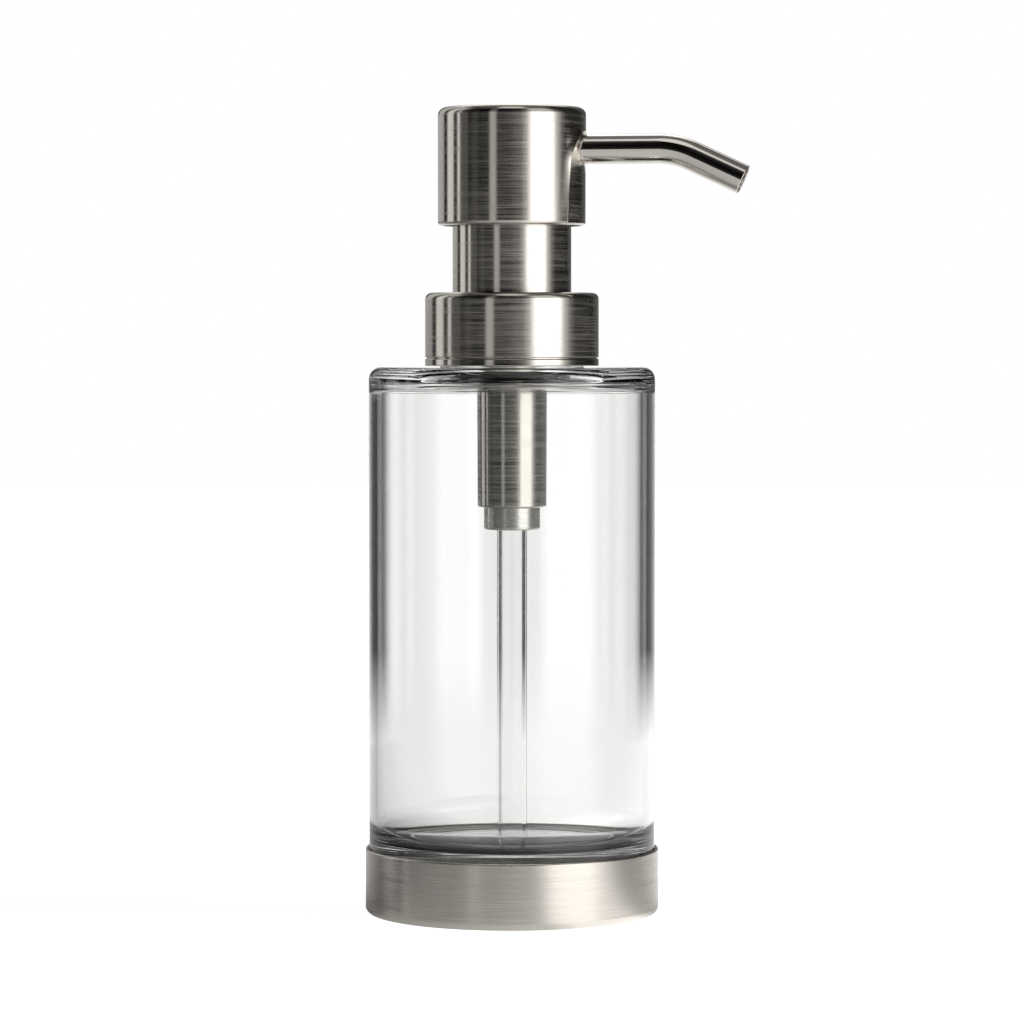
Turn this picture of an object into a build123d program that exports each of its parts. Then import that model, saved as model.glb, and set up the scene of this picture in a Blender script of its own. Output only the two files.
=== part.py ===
"""A soap pump dispenser: a glass bottle in a steel-skinned base, closed by a screw-on lotion pump.

Everything stands on the Z axis, which runs up the middle of the bottle. The origin is on the surface
that the foot pad rests on, and the spout points along +X. All sizes are in millimetres.
"""

import os
from math import atan, cos, degrees, pi, radians, sin, tan

from build123d import *

# --- Driving dimensions --------------------------------------------------------------------------

# Glass bottle
bottle_diameter = 71.2
bottle_body_height = 123.8  # underside to shoulder
bottle_wall = 2.1
bottle_floor = 5.7
shoulder_thickness = 3.8  # where it meets the wall
shoulder_dome = 0.8  # how far its underside rises from the wall to the neck
shoulder_round = 3.0
heel_round = 3.0
inner_floor_round = 5.0
inner_shoulder_round = 2.5
push_up_diameter = 52.0
push_up_depth = 0.8

# Screw finish on the bottle's neck, and its single-start right-hand thread
finish_diameter = 35.0  # at the thread's root
finish_bore = 30.5
finish_height = 10.2
thread_pitch = 4.233  # six threads to the inch
thread_depth = 1.15
thread_root_width = 2.3
thread_crest_width = 1.2
thread_turns = 1.25
thread_radial_clearance = 0.3
thread_flank_clearance = 0.1
thread_lead_in = 1.2  # plain height above the bottle's thread
thread_sink = 0.2

# Base: a drawn steel skin over a moulded core, on a rubber pad
base_height = 16.5
base_wall = 0.7
base_fit = 0.2  # radial gap between the skin and the glass
base_bottom_round = 1.8
base_flange_width = 4.0  # the skin turned in under the core
core_height = 10.6
core_wall = 2.2
core_web = 2.0
core_ribs = 6
seat_pad_thickness = 0.7
foot_pad_proud = 0.2

# Closure: threaded insert, brushed steel collar over it and a ring under the collar
collar_diameter = 43.2
collar_top = 0.8
collar_wall = 0.6
collar_top_round = 1.6
collar_shoulder_gap = 0.3  # the ring hangs this far above the glass
ring_height = 1.8
ring_groove = 0.3
ring_spigot = 2.0
insert_skirt_wall = 0.6
insert_web = 2.8

# Neck sleeve and the guide inside it
sleeve_diameter = 29.5
sleeve_wall = 0.6
sleeve_to_spout = 0.6  # left between the sleeve and the spout when the head is pressed home
sleeve_lip_width = 1.2
guide_flange = 1.5
guide_tube_wall = 1.5

# Head
head_diameter = 36.8
head_height = 29.2
head_wall = 1.2
head_top = 1.0
head_top_round = 2.0
head_lip_round = 0.8
head_gap = 16.6  # collar's top to the head's lip at rest
core_disc = 2.0
core_skirt_wall = 1.4
core_post_diameter = 13.2
core_post_above_lip = 3.0  # the actuator's post ends this far above the head's lip

# Spout
spout_diameter = 7.4
spout_wall = 0.45
spout_below_top = 10.4  # from the head's top to the level run's centreline
spout_level_run = 41.0  # bottle's axis to the corner of the two straight runs
spout_drop_run = 18.4  # the corner to the tip
spout_angle = 25.0
spout_bend_radius = 20.0
spout_root = 5.0  # the tube starts this far from the axis
spout_boss_diameter = 11.2
arch_width = 20.0  # opening in the head's skirt, at the lip
arch_crown_diameter = 18.1  # the round top that its sides run into
arch_above_spout = 0.7
saddle_gap = 0.15
saddle_recess = 0.1
saddle_hole_gap = 0.2

# Pump engine
cylinder_diameter = 17.5
cylinder_taper = 0.2  # radius lost at the bottom
cylinder_wall = 1.0
cylinder_flange = 1.3
cylinder_depth = 47.2  # flange's top to the cylinder's bottom
cylinder_floor = 1.5
vent_diameter = 1.0
vent_depth = 2.0  # below the flange
gasket_thickness = 1.0
valve_diameter = 13.9
valve_height = 5.6
valve_spigot = 2.7
valve_spigot_diameter = 12.2
valve_passage_diameter = 4.0
suction_ball_diameter = 6.0
suction_ball_lift = 1.4
dip_tube_diameter = 7.5
dip_tube_wall = 0.85
dip_tube_socket = 4.0
dip_tube_above_floor = 1.0
cage_flange = 1.2
cage_tube_wall = 1.8
cage_windows = 4
cage_window_width = 2.6
spring_wire = 0.9
spring_mean_diameter = 12.6
spring_turns = 8.5
stem_diameter = 9.0
stem_bore = 5.4
stem_socket = 10.5  # how far the stem goes up into the actuator's post
stem_shoulder_height = 1.0
stem_shoulder_width = 0.9
stem_foot_flange = 1.5
stem_foot_spigot = 4.0
stem_foot_bore = 3.2
piston_height = 6.0
piston_lip = 0.8
discharge_ball_diameter = 4.0
discharge_ball_lift = 1.2
discharge_seat_bore = 2.6
pump_stroke = 13.0

# Fits, as radial or face-to-face gaps
close_fit = 0.05
running_fit = 0.1
loose_fit = 0.3
ball_gap = 0.02
edge_break = 0.25

# --- Places worked out from them -------------------------------------------------------------------

bottle_radius = bottle_diameter / 2
bottle_inner_radius = bottle_radius - bottle_wall
finish_radius = finish_diameter / 2
finish_bore_radius = finish_bore / 2
thread_crest_radius = finish_radius + thread_depth

base_inner_radius = bottle_radius + base_fit
base_radius = base_inner_radius + base_wall
skin_bottom = foot_pad_proud
core_bottom = skin_bottom + base_wall
core_top = core_bottom + core_height
bottle_bottom = core_top + seat_pad_thickness
floor_level = bottle_bottom + bottle_floor
shoulder_level = bottle_bottom + bottle_body_height
ceiling_level = shoulder_level - shoulder_thickness
land_level = shoulder_level + finish_height

flange_bottom = land_level + gasket_thickness
flange_top = flange_bottom + cylinder_flange
guide_web_top = flange_top + guide_flange
sleeve_flange_top = guide_web_top + sleeve_wall
web_bottom = sleeve_flange_top + running_fit
web_top = web_bottom + insert_web
collar_ceiling = web_top + running_fit
collar_level = collar_ceiling + collar_top
ring_bottom = shoulder_level + collar_shoulder_gap
ring_top = ring_bottom + ring_height
collar_skirt_bottom = ring_top + ring_groove
flange_radius = finish_radius + running_fit

collar_radius = collar_diameter / 2
collar_inner_radius = collar_radius - collar_wall
insert_root_radius = thread_crest_radius + thread_radial_clearance
insert_skirt_radius = insert_root_radius + insert_skirt_wall
sleeve_radius = sleeve_diameter / 2
sleeve_inner_radius = sleeve_radius - sleeve_wall

head_radius = head_diameter / 2
head_inner_radius = head_radius - head_wall
head_lip = collar_level + head_gap
head_level = head_lip + head_height
head_ceiling = head_level - head_top
spout_level = head_level - spout_below_top
spout_radius = spout_diameter / 2
sleeve_top = spout_level - spout_radius - pump_stroke - sleeve_to_spout
spout_bore_radius = spout_radius - spout_wall

cylinder_radius = cylinder_diameter / 2
cylinder_bore_radius = cylinder_radius - cylinder_wall
cylinder_bottom = flange_top - cylinder_depth
valve_bottom = cylinder_bottom - valve_height
valve_top = cylinder_bottom + valve_spigot
dip_tube_radius = dip_tube_diameter / 2
dip_tube_top = valve_bottom + dip_tube_socket
dip_tube_bottom = floor_level + dip_tube_above_floor

stem_radius = stem_diameter / 2
stem_bore_radius = stem_bore / 2
post_radius = core_post_diameter / 2
guide_tube_radius = cylinder_bore_radius - close_fit
guide_bore_radius = stem_radius + running_fit
# The post stops a loose fit above the guide's tube when the head is pressed home.
post_bottom = head_lip + core_post_above_lip
guide_tube_top = post_bottom - pump_stroke - loose_fit
stem_top = post_bottom + stem_socket


# Ways to place a cylinder: lying along X, standing on its base, or with its seam on the far side.
facing_x = (0, 90, 0)
from_base = (Align.CENTER, Align.CENTER, Align.MIN)
seam_behind = (0, 0, 180)


def lathe(*points):
    """The closed outline through (radius, height) points, on the XZ plane, ready to revolve about Z."""
    with BuildSketch(Plane.XZ) as outline:
        with BuildLine():
            Polyline(*points, close=True)
        make_face()
    return outline.sketch


def thread_ridge(wall_radius, crest_radius, bottom, turned):
    """One ridge of right-hand thread, sunk a little into a wall and narrowing towards its crest."""
    flank = (thread_root_width - thread_crest_width) / (2 * thread_depth)
    outward = 1 if crest_radius > wall_radius else -1
    sunk_radius = wall_radius - outward * thread_sink
    half_crest = thread_crest_width / 2
    half_sunk = half_crest + flank * abs(crest_radius - sunk_radius)
    with BuildPart() as ridge:
        with BuildLine() as path:
            Helix(pitch=thread_pitch, height=thread_turns * thread_pitch, radius=wall_radius)
        with BuildSketch(Plane.XZ):
            with BuildLine():
                Polyline(
                    (sunk_radius, -half_sunk),
                    (crest_radius, -half_crest),
                    (crest_radius, half_crest),
                    (sunk_radius, half_sunk),
                    close=True,
                )
            make_face()
        sweep(path=path.line, is_frenet=True)
    return ridge.part.moved(Location((0, 0, bottom), (0, 0, turned)))


def circles_at(part, radius, height):
    """The edges of a turned part that are circles of that radius at that height."""
    rings = part.edges().filter_by(GeomType.CIRCLE)
    return [e for e in rings if abs(e.radius - radius) < 0.01 and abs(e.center().Z - height) < 0.01]


# --- Base ----------------------------------------------------------------------------------------

# Rubber pad: a disc through the skin's open bottom, with a wider top half held above the flange.
pad_radius = base_radius - base_flange_width - running_fit
with BuildPart() as foot_pad:
    revolve(lathe((0, 0), (pad_radius, 0), (pad_radius, core_bottom), (0, core_bottom)))
    fillet(circles_at(foot_pad.part, pad_radius, 0), edge_break)
foot_pad.part.label = "foot_pad"

# Steel skin: a drawn cup with its bottom turned in and its middle cut away.
flange_inner_radius = base_radius - base_flange_width
with BuildPart() as base_shell:
    revolve(
        lathe(
            (flange_inner_radius, skin_bottom),
            (base_radius, skin_bottom),
            (base_radius, base_height),
            (base_inner_radius, base_height),
            (base_inner_radius, core_bottom),
            (flange_inner_radius, core_bottom),
        )
    )
    fillet(circles_at(base_shell.part, base_radius, skin_bottom), base_bottom_round)
    fillet(circles_at(base_shell.part, base_inner_radius, core_bottom), base_bottom_round - base_wall)
    fillet(circles_at(base_shell.part, base_radius, base_height), 0.6 * base_wall)
    fillet(circles_at(base_shell.part, base_inner_radius, base_height), 0.2 * base_wall)
base_shell.part.label = "base_shell"

# Moulded core: a ribbed, hollow-bottomed plug that fills the skin and carries the bottle.
core_radius = base_inner_radius - close_fit
core_hub_radius = 6.0
with BuildPart() as base_core:
    revolve(lathe((0, core_bottom), (core_radius, core_bottom), (core_radius, core_top), (0, core_top)))
    fillet(circles_at(base_core.part, core_radius, core_bottom), base_bottom_round - base_wall + close_fit)
    pocket_top = core_top - core_web
    pocket_radius = core_radius - core_wall
    with BuildSketch(Plane.XY.offset(core_bottom)):
        Circle(pocket_radius)
        Circle(core_hub_radius, mode=Mode.SUBTRACT)
        with PolarLocations(0, core_ribs):
            Rectangle(
                pocket_radius + core_wall / 2,
                core_wall,
                align=(Align.MIN, Align.CENTER),
                mode=Mode.SUBTRACT,
            )
    extrude(amount=pocket_top - core_bottom, mode=Mode.SUBTRACT)
base_core.part.label = "base_core"

# Dark foam disc under the glass.
with BuildPart() as seat_pad:
    seat_pad_radius = bottle_radius - heel_round - 1.5
    revolve(
        lathe((0, core_top), (seat_pad_radius, core_top), (seat_pad_radius, bottle_bottom), (0, bottle_bottom))
    )
seat_pad.part.label = "seat_pad"

# --- Bottle --------------------------------------------------------------------------------------

finish_round = 0.6
push_up_radius = push_up_diameter / 2
bottle_thread_top = land_level - thread_lead_in - thread_root_width / 2
bottle_thread_bottom = bottle_thread_top - thread_turns * thread_pitch
with BuildPart() as bottle:
    revolve(
        lathe(
            (0, bottle_bottom + push_up_depth),
            (push_up_radius - push_up_depth, bottle_bottom + push_up_depth),
            (push_up_radius, bottle_bottom),
            (bottle_radius, bottle_bottom),
            (bottle_radius, shoulder_level),
            (finish_radius, shoulder_level),
            (finish_radius, land_level),
            (finish_bore_radius, land_level),
            (finish_bore_radius, ceiling_level + shoulder_dome),
            (bottle_inner_radius, ceiling_level),
            (bottle_inner_radius, floor_level),
            (0, floor_level),
        )
    )
    fillet(circles_at(bottle.part, bottle_radius, bottle_bottom), heel_round)
    fillet(circles_at(bottle.part, bottle_radius, shoulder_level), shoulder_round)
    fillet(circles_at(bottle.part, bottle_inner_radius, floor_level), inner_floor_round)
    fillet(circles_at(bottle.part, bottle_inner_radius, ceiling_level), inner_shoulder_round)
    fillet(circles_at(bottle.part, finish_radius, land_level), finish_round)
    fillet(circles_at(bottle.part, finish_bore_radius, land_level), finish_round)
    fillet(circles_at(bottle.part, finish_radius, shoulder_level), finish_round)
    fillet(circles_at(bottle.part, finish_bore_radius, ceiling_level + shoulder_dome), 2 * finish_round)
    add(thread_ridge(finish_radius, thread_crest_radius, bottle_thread_bottom, 0))
bottle.part.label = "bottle"

# --- Closure -------------------------------------------------------------------------------------

# The insert's ridge runs under the bottle's, and starts where its lower edge clears the skirt.
insert_bottom = ring_bottom + running_fit
insert_crest_radius = finish_radius + thread_radial_clearance
ridge_spacing = (thread_root_width + thread_crest_width) / 2 + thread_flank_clearance
ridge_spacing -= thread_radial_clearance * (thread_root_width - thread_crest_width) / (2 * thread_depth)
insert_thread_bottom = insert_bottom + thread_root_width / 2 + edge_break
insert_thread_turned = 360 * (insert_thread_bottom + ridge_spacing - bottle_thread_bottom) / thread_pitch
spigot_radius = collar_inner_radius - close_fit
with BuildPart() as closure_insert:
    revolve(
        lathe(
            (insert_root_radius, insert_bottom),
            (insert_skirt_radius, insert_bottom),
            (insert_skirt_radius, ring_top + ring_spigot + running_fit),
            (spigot_radius, ring_top + ring_spigot + running_fit),
            (spigot_radius, web_top),
            (sleeve_radius + loose_fit, web_top),
            (sleeve_radius + loose_fit, web_bottom),
            (insert_root_radius, web_bottom),
        )
    )
    chamfer(circles_at(closure_insert.part, spigot_radius, web_top), collar_top_round - collar_wall)
    add(thread_ridge(insert_root_radius, insert_crest_radius, insert_thread_bottom, insert_thread_turned))
closure_insert.part.label = "closure_insert"

# Brushed steel collar, drawn like a cap with a hole in its top for the sleeve.
with BuildPart() as collar_shell:
    revolve(
        lathe(
            (collar_inner_radius, collar_skirt_bottom),
            (collar_radius, collar_skirt_bottom),
            (collar_radius, collar_level),
            (sleeve_radius + running_fit, collar_level),
            (sleeve_radius + running_fit, collar_ceiling),
            (collar_inner_radius, collar_ceiling),
        )
    )
    fillet(circles_at(collar_shell.part, collar_radius, collar_level), collar_top_round)
    fillet(circles_at(collar_shell.part, collar_inner_radius, collar_ceiling), collar_top_round - collar_wall)
    fillet(circles_at(collar_shell.part, collar_radius, collar_skirt_bottom), 0.4 * collar_wall)
    fillet(circles_at(collar_shell.part, sleeve_radius + running_fit, collar_level), 0.3 * collar_top)
collar_shell.part.label = "collar_shell"

# Steel ring pressed into the collar's open end, with a fine groove left between them.
ring_inner_radius = insert_skirt_radius + running_fit
with BuildPart() as collar_ring:
    revolve(
        lathe(
            (ring_inner_radius, ring_bottom),
            (collar_radius, ring_bottom),
            (collar_radius, ring_top),
            (spigot_radius, ring_top),
            (spigot_radius, ring_top + ring_spigot),
            (ring_inner_radius, ring_top + ring_spigot),
        )
    )
    fillet(circles_at(collar_ring.part, collar_radius, ring_bottom), edge_break)
    fillet(circles_at(collar_ring.part, collar_radius, ring_top), edge_break)
collar_ring.part.label = "collar_ring"

# --- Neck sleeve, guide and seals ------------------------------------------------------------------

with BuildPart() as gasket:
    revolve(
        lathe(
            (finish_bore_radius - loose_fit, land_level),
            (flange_radius, land_level),
            (flange_radius, flange_bottom),
            (finish_bore_radius - loose_fit, flange_bottom),
        )
    )
gasket.part.label = "gasket"

# Brushed steel sleeve with a foot flange under the collar's web and a lip turned in at its top.
with BuildPart() as neck_sleeve:
    sleeve_flange_radius = flange_radius - loose_fit
    revolve(
        lathe(
            (sleeve_inner_radius, guide_web_top),
            (sleeve_flange_radius, guide_web_top),
            (sleeve_flange_radius, sleeve_flange_top),
            (sleeve_radius, sleeve_flange_top),
            (sleeve_radius, sleeve_top),
            (sleeve_inner_radius - sleeve_lip_width, sleeve_top),
            (sleeve_inner_radius - sleeve_lip_width, sleeve_top - sleeve_wall),
            (sleeve_inner_radius, sleeve_top - sleeve_wall),
        )
    )
    fillet(circles_at(neck_sleeve.part, sleeve_radius, sleeve_top), 0.8 * sleeve_wall)
neck_sleeve.part.label = "neck_sleeve"

# Moulded guide: a web on the cylinder's flange, a tube that guides the stem and one that holds the sleeve.
guide_outer_radius = sleeve_inner_radius - close_fit
guide_outer_top = sleeve_top - sleeve_wall - loose_fit
guide_tube_bottom = flange_bottom - 7.2
seal_depth = 2.0
seal_radius = guide_tube_radius - guide_tube_wall
with BuildPart() as stem_guide:
    revolve(
        lathe(
            (guide_bore_radius, guide_tube_bottom),
            (guide_tube_radius, guide_tube_bottom),
            (guide_tube_radius, flange_top),
            (flange_radius, flange_top),
            (flange_radius, guide_web_top),
            (guide_outer_radius, guide_web_top),
            (guide_outer_radius, guide_outer_top),
            (guide_outer_radius - guide_tube_wall, guide_outer_top),
            (guide_outer_radius - guide_tube_wall, guide_web_top),
            (guide_tube_radius, guide_web_top),
            (guide_tube_radius, guide_tube_top),
            (seal_radius, guide_tube_top),
            (seal_radius, guide_tube_top - seal_depth),
            (guide_bore_radius, guide_tube_top - seal_depth),
        )
    )
stem_guide.part.label = "stem_guide"

# Rubber lip that wipes the stem, in the guide's counterbore.
with BuildPart() as stem_seal:
    seal_lip_radius = stem_radius + close_fit
    seal_bottom = guide_tube_top - seal_depth
    revolve(
        lathe(
            (seal_lip_radius + loose_fit, seal_bottom),
            (seal_radius, seal_bottom),
            (seal_radius, guide_tube_top),
            (seal_lip_radius, guide_tube_top),
            (seal_lip_radius, guide_tube_top - seal_depth / 3),
        )
    )
stem_seal.part.label = "stem_seal"

# --- Pump cylinder and foot valve ------------------------------------------------------------------

valve_spigot_radius = valve_spigot_diameter / 2
with BuildPart() as pump_cylinder:
    revolve(
        lathe(
            (valve_spigot_radius + close_fit, cylinder_bottom),
            (cylinder_radius - cylinder_taper, cylinder_bottom),
            (cylinder_radius, flange_bottom),
            (flange_radius, flange_bottom),
            (flange_radius, flange_top),
            (cylinder_bore_radius, flange_top),
            (cylinder_bore_radius, cylinder_bottom + cylinder_floor),
            (valve_spigot_radius + close_fit, cylinder_bottom + cylinder_floor),
        )
    )
    fillet(circles_at(pump_cylinder.part, cylinder_radius - cylinder_taper, cylinder_bottom), 0.4)
    # The vent lets air into the bottle, from inside the neck.
    with Locations(Location((0, 0, flange_bottom - vent_depth), facing_x)):
        Cylinder(vent_diameter / 2, cylinder_radius, align=from_base, mode=Mode.SUBTRACT)
pump_cylinder.part.label = "pump_cylinder"

# Foot valve: the step below the cylinder, which holds the dip tube and the suction ball's seat.
valve_radius = valve_diameter / 2
passage_radius = valve_passage_diameter / 2
suction_ball_radius = suction_ball_diameter / 2
ball_chamber_radius = suction_ball_radius + loose_fit
seat_top = valve_top - edge_break
seat_bottom = seat_top - (ball_chamber_radius - passage_radius)  # a 45 degree cone
with BuildPart() as foot_valve:
    revolve(
        lathe(
            (dip_tube_radius, valve_bottom),
            (valve_radius, valve_bottom),
            (valve_radius, cylinder_bottom),
            (valve_spigot_radius, cylinder_bottom),
            (valve_spigot_radius, valve_top),
            (ball_chamber_radius, valve_top),
            (ball_chamber_radius, seat_top),
            (passage_radius, seat_bottom),
            (passage_radius, dip_tube_top),
            (dip_tube_radius, dip_tube_top),
        )
    )
    fillet(circles_at(foot_valve.part, valve_radius, valve_bottom), 2 * edge_break)
foot_valve.part.label = "foot_valve"

with BuildPart() as dip_tube:
    dip_tube_bore_radius = dip_tube_radius - dip_tube_wall
    revolve(
        lathe(
            (dip_tube_bore_radius, dip_tube_bottom),
            (dip_tube_radius, dip_tube_bottom),
            (dip_tube_radius, dip_tube_top),
            (dip_tube_bore_radius, dip_tube_top),
        )
    )
dip_tube.part.label = "dip_tube"

# The ball rests on the 45 degree cone, so it touches it at sin 45 of its radius.
ball_rise = suction_ball_radius * (sin(radians(45)) + cos(radians(45))) - passage_radius
suction_ball_level = seat_bottom + ball_rise + ball_gap
with BuildPart() as suction_ball:
    with Locations((0, 0, suction_ball_level)):
        Sphere(suction_ball_radius)
suction_ball.part.label = "suction_ball"

# Cage: keeps the ball near its seat, lets the soap past and carries the spring.
cage_flange_top = valve_top + cage_flange
cage_roof = suction_ball_level + suction_ball_radius + suction_ball_lift + running_fit
cage_top = cage_roof + cage_flange
cage_radius = ball_chamber_radius + cage_tube_wall
with BuildPart() as ball_cage:
    revolve(
        lathe(
            (ball_chamber_radius, valve_top),
            (guide_tube_radius, valve_top),
            (guide_tube_radius, cage_flange_top),
            (cage_radius, cage_flange_top),
            (cage_radius, cage_top),
            (passage_radius, cage_top),
            (passage_radius, cage_roof),
            (ball_chamber_radius, cage_roof),
        )
    )
    with BuildSketch(Plane.XY.offset(cage_flange_top)):
        with PolarLocations(cage_radius, cage_windows):
            Rectangle(2 * cage_tube_wall + 1.2, cage_window_width)
    extrude(amount=cage_roof - cage_flange_top - 2 * edge_break, mode=Mode.SUBTRACT)
ball_cage.part.label = "ball_cage"

# --- Plunger -------------------------------------------------------------------------------------

stem_shoulder_top = guide_tube_bottom - running_fit
stem_shoulder_bottom = stem_shoulder_top - stem_shoulder_height
piston_top = stem_shoulder_bottom - running_fit
piston_bottom = piston_top - piston_height
stem_bottom = piston_bottom - running_fit
foot_flange_bottom = stem_bottom - stem_foot_flange

# Return spring, round wire with its ends ground flat where it seats.
spring_length = foot_flange_bottom - cage_flange_top
spring_pitch = (spring_length - spring_wire / 2) / spring_turns
with BuildPart() as return_spring:
    with BuildLine() as coil:
        Helix(pitch=spring_pitch, height=spring_turns * spring_pitch, radius=spring_mean_diameter / 2)
    with BuildSketch(Plane.XZ):
        with Locations((spring_mean_diameter / 2, 0)):
            Circle(spring_wire / 2)
    sweep(path=coil.line, is_frenet=True)
with BuildPart() as ground_spring:
    add(return_spring.part.moved(Location((0, 0, cage_flange_top + spring_wire / 4))))
    split(bisect_by=Plane.XY.offset(cage_flange_top), keep=Keep.TOP)
    split(bisect_by=Plane.XY.offset(foot_flange_bottom), keep=Keep.BOTTOM)
ground_spring.part.label = "return_spring"

# Piston with a lip at each end that wipes the bore.
piston_radius = cylinder_bore_radius - 0.6 * close_fit
piston_bore_radius = stem_radius + close_fit
with BuildPart() as piston:
    waist = piston_radius - piston_lip
    revolve(
        lathe(
            (piston_bore_radius, piston_bottom),
            (waist - piston_lip, piston_bottom),
            (waist - piston_lip / 2, piston_bottom + piston_lip),
            (piston_radius - piston_lip / 2, piston_bottom),
            (piston_radius, piston_bottom),
            (waist, piston_bottom + 2.5 * piston_lip),
            (waist, piston_top - 2.5 * piston_lip),
            (piston_radius, piston_top),
            (piston_radius - piston_lip / 2, piston_top),
            (waist - piston_lip / 2, piston_top - piston_lip),
            (waist - piston_lip, piston_top),
            (piston_bore_radius, piston_top),
        )
    )
piston.part.label = "piston"

# Foot pressed into the stem: it carries the piston, and the spring pushes on it.
foot_bore_radius = stem_foot_bore / 2
foot_spigot_radius = stem_bore_radius - close_fit
with BuildPart() as stem_foot:
    foot_flange_radius = cylinder_bore_radius - 2 * loose_fit
    revolve(
        lathe(
            (foot_bore_radius, foot_flange_bottom),
            (foot_flange_radius, foot_flange_bottom),
            (foot_flange_radius, stem_bottom),
            (foot_spigot_radius, stem_bottom),
            (foot_spigot_radius, stem_bottom + stem_foot_spigot),
            (foot_bore_radius, stem_bottom + stem_foot_spigot),
        )
    )
stem_foot.part.label = "stem_foot"

# Hollow stem: a shoulder that stops it under the guide, and the discharge ball's seat at its top.
seat_bore_radius = discharge_seat_bore / 2
discharge_seat_bottom = stem_top - (stem_bore_radius - seat_bore_radius)  # a 45 degree cone
stem_seat_length = 3.0
with BuildPart() as stem:
    shoulder_radius = stem_radius + stem_shoulder_width
    revolve(
        lathe(
            (stem_bore_radius, stem_bottom),
            (stem_radius, stem_bottom),
            (stem_radius, stem_shoulder_bottom),
            (shoulder_radius, stem_shoulder_bottom),
            (shoulder_radius, stem_shoulder_top),
            (stem_radius, stem_shoulder_top),
            (stem_radius, stem_top),
            (stem_bore_radius, stem_top),
            (seat_bore_radius, discharge_seat_bottom),
            (seat_bore_radius, discharge_seat_bottom - stem_seat_length),
            (stem_bore_radius, discharge_seat_bottom - stem_seat_length - seat_bore_radius),
        )
    )
stem.part.label = "stem"

discharge_ball_radius = discharge_ball_diameter / 2
discharge_rise = discharge_ball_radius * (sin(radians(45)) + cos(radians(45))) - seat_bore_radius
discharge_ball_level = discharge_seat_bottom + discharge_rise + ball_gap
with BuildPart() as discharge_ball:
    with Locations((0, 0, discharge_ball_level)):
        Sphere(discharge_ball_radius)
discharge_ball.part.label = "discharge_ball"

# --- Head ----------------------------------------------------------------------------------------


def arch(margin):
    """The opening in the head's skirt, seen along X: a round crown on sides that spread to the lip and
    run out below it. A margin grows it."""
    crown_radius = arch_crown_diameter / 2 + margin
    crown_centre = spout_level + spout_radius + arch_above_spout + margin - crown_radius
    with BuildSketch(Plane.YZ) as opening:
        with Locations((0, crown_centre)):
            Circle(crown_radius)
        with Locations((0, head_lip)):
            Rectangle(arch_width + 2 * margin, crown_radius, align=(Align.CENTER, Align.MAX))
        make_hull()
    return opening.sketch


# Brushed steel cap, open below and cut by the arch so that it drops over the spout.
with BuildPart() as head_shell:
    revolve(
        lathe(
            (0, head_level),
            (head_radius, head_level),
            (head_radius, head_lip),
            (head_inner_radius, head_lip),
            (head_inner_radius, head_ceiling),
            (0, head_ceiling),
        )
    )
    fillet(circles_at(head_shell.part, head_radius, head_level), head_top_round)
    fillet(circles_at(head_shell.part, head_inner_radius, head_ceiling), head_top_round - head_top)
    fillet(circles_at(head_shell.part, head_radius, head_lip), head_lip_round)
    extrude(arch(0), amount=2 * head_radius, mode=Mode.SUBTRACT)
head_shell.part.label = "head_shell"

# The piece that closes the arch round the spout: a strip of the same steel, set back a little.
with BuildPart() as spout_saddle:
    saddle_radius = head_radius - saddle_recess
    saddle_height = head_ceiling - head_lip
    with Locations((0, 0, head_lip)):
        Cylinder(saddle_radius, saddle_height, rotation=seam_behind, align=from_base)
        Cylinder(head_inner_radius, saddle_height, rotation=seam_behind, align=from_base, mode=Mode.SUBTRACT)
    extrude(arch(-saddle_gap), amount=2 * head_radius, mode=Mode.INTERSECT)
    with Locations(Location((0, 0, spout_level), facing_x)):
        Cylinder(spout_radius + saddle_hole_gap, 2 * head_radius, align=from_base, mode=Mode.SUBTRACT)
spout_saddle.part.label = "spout_saddle"

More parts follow.
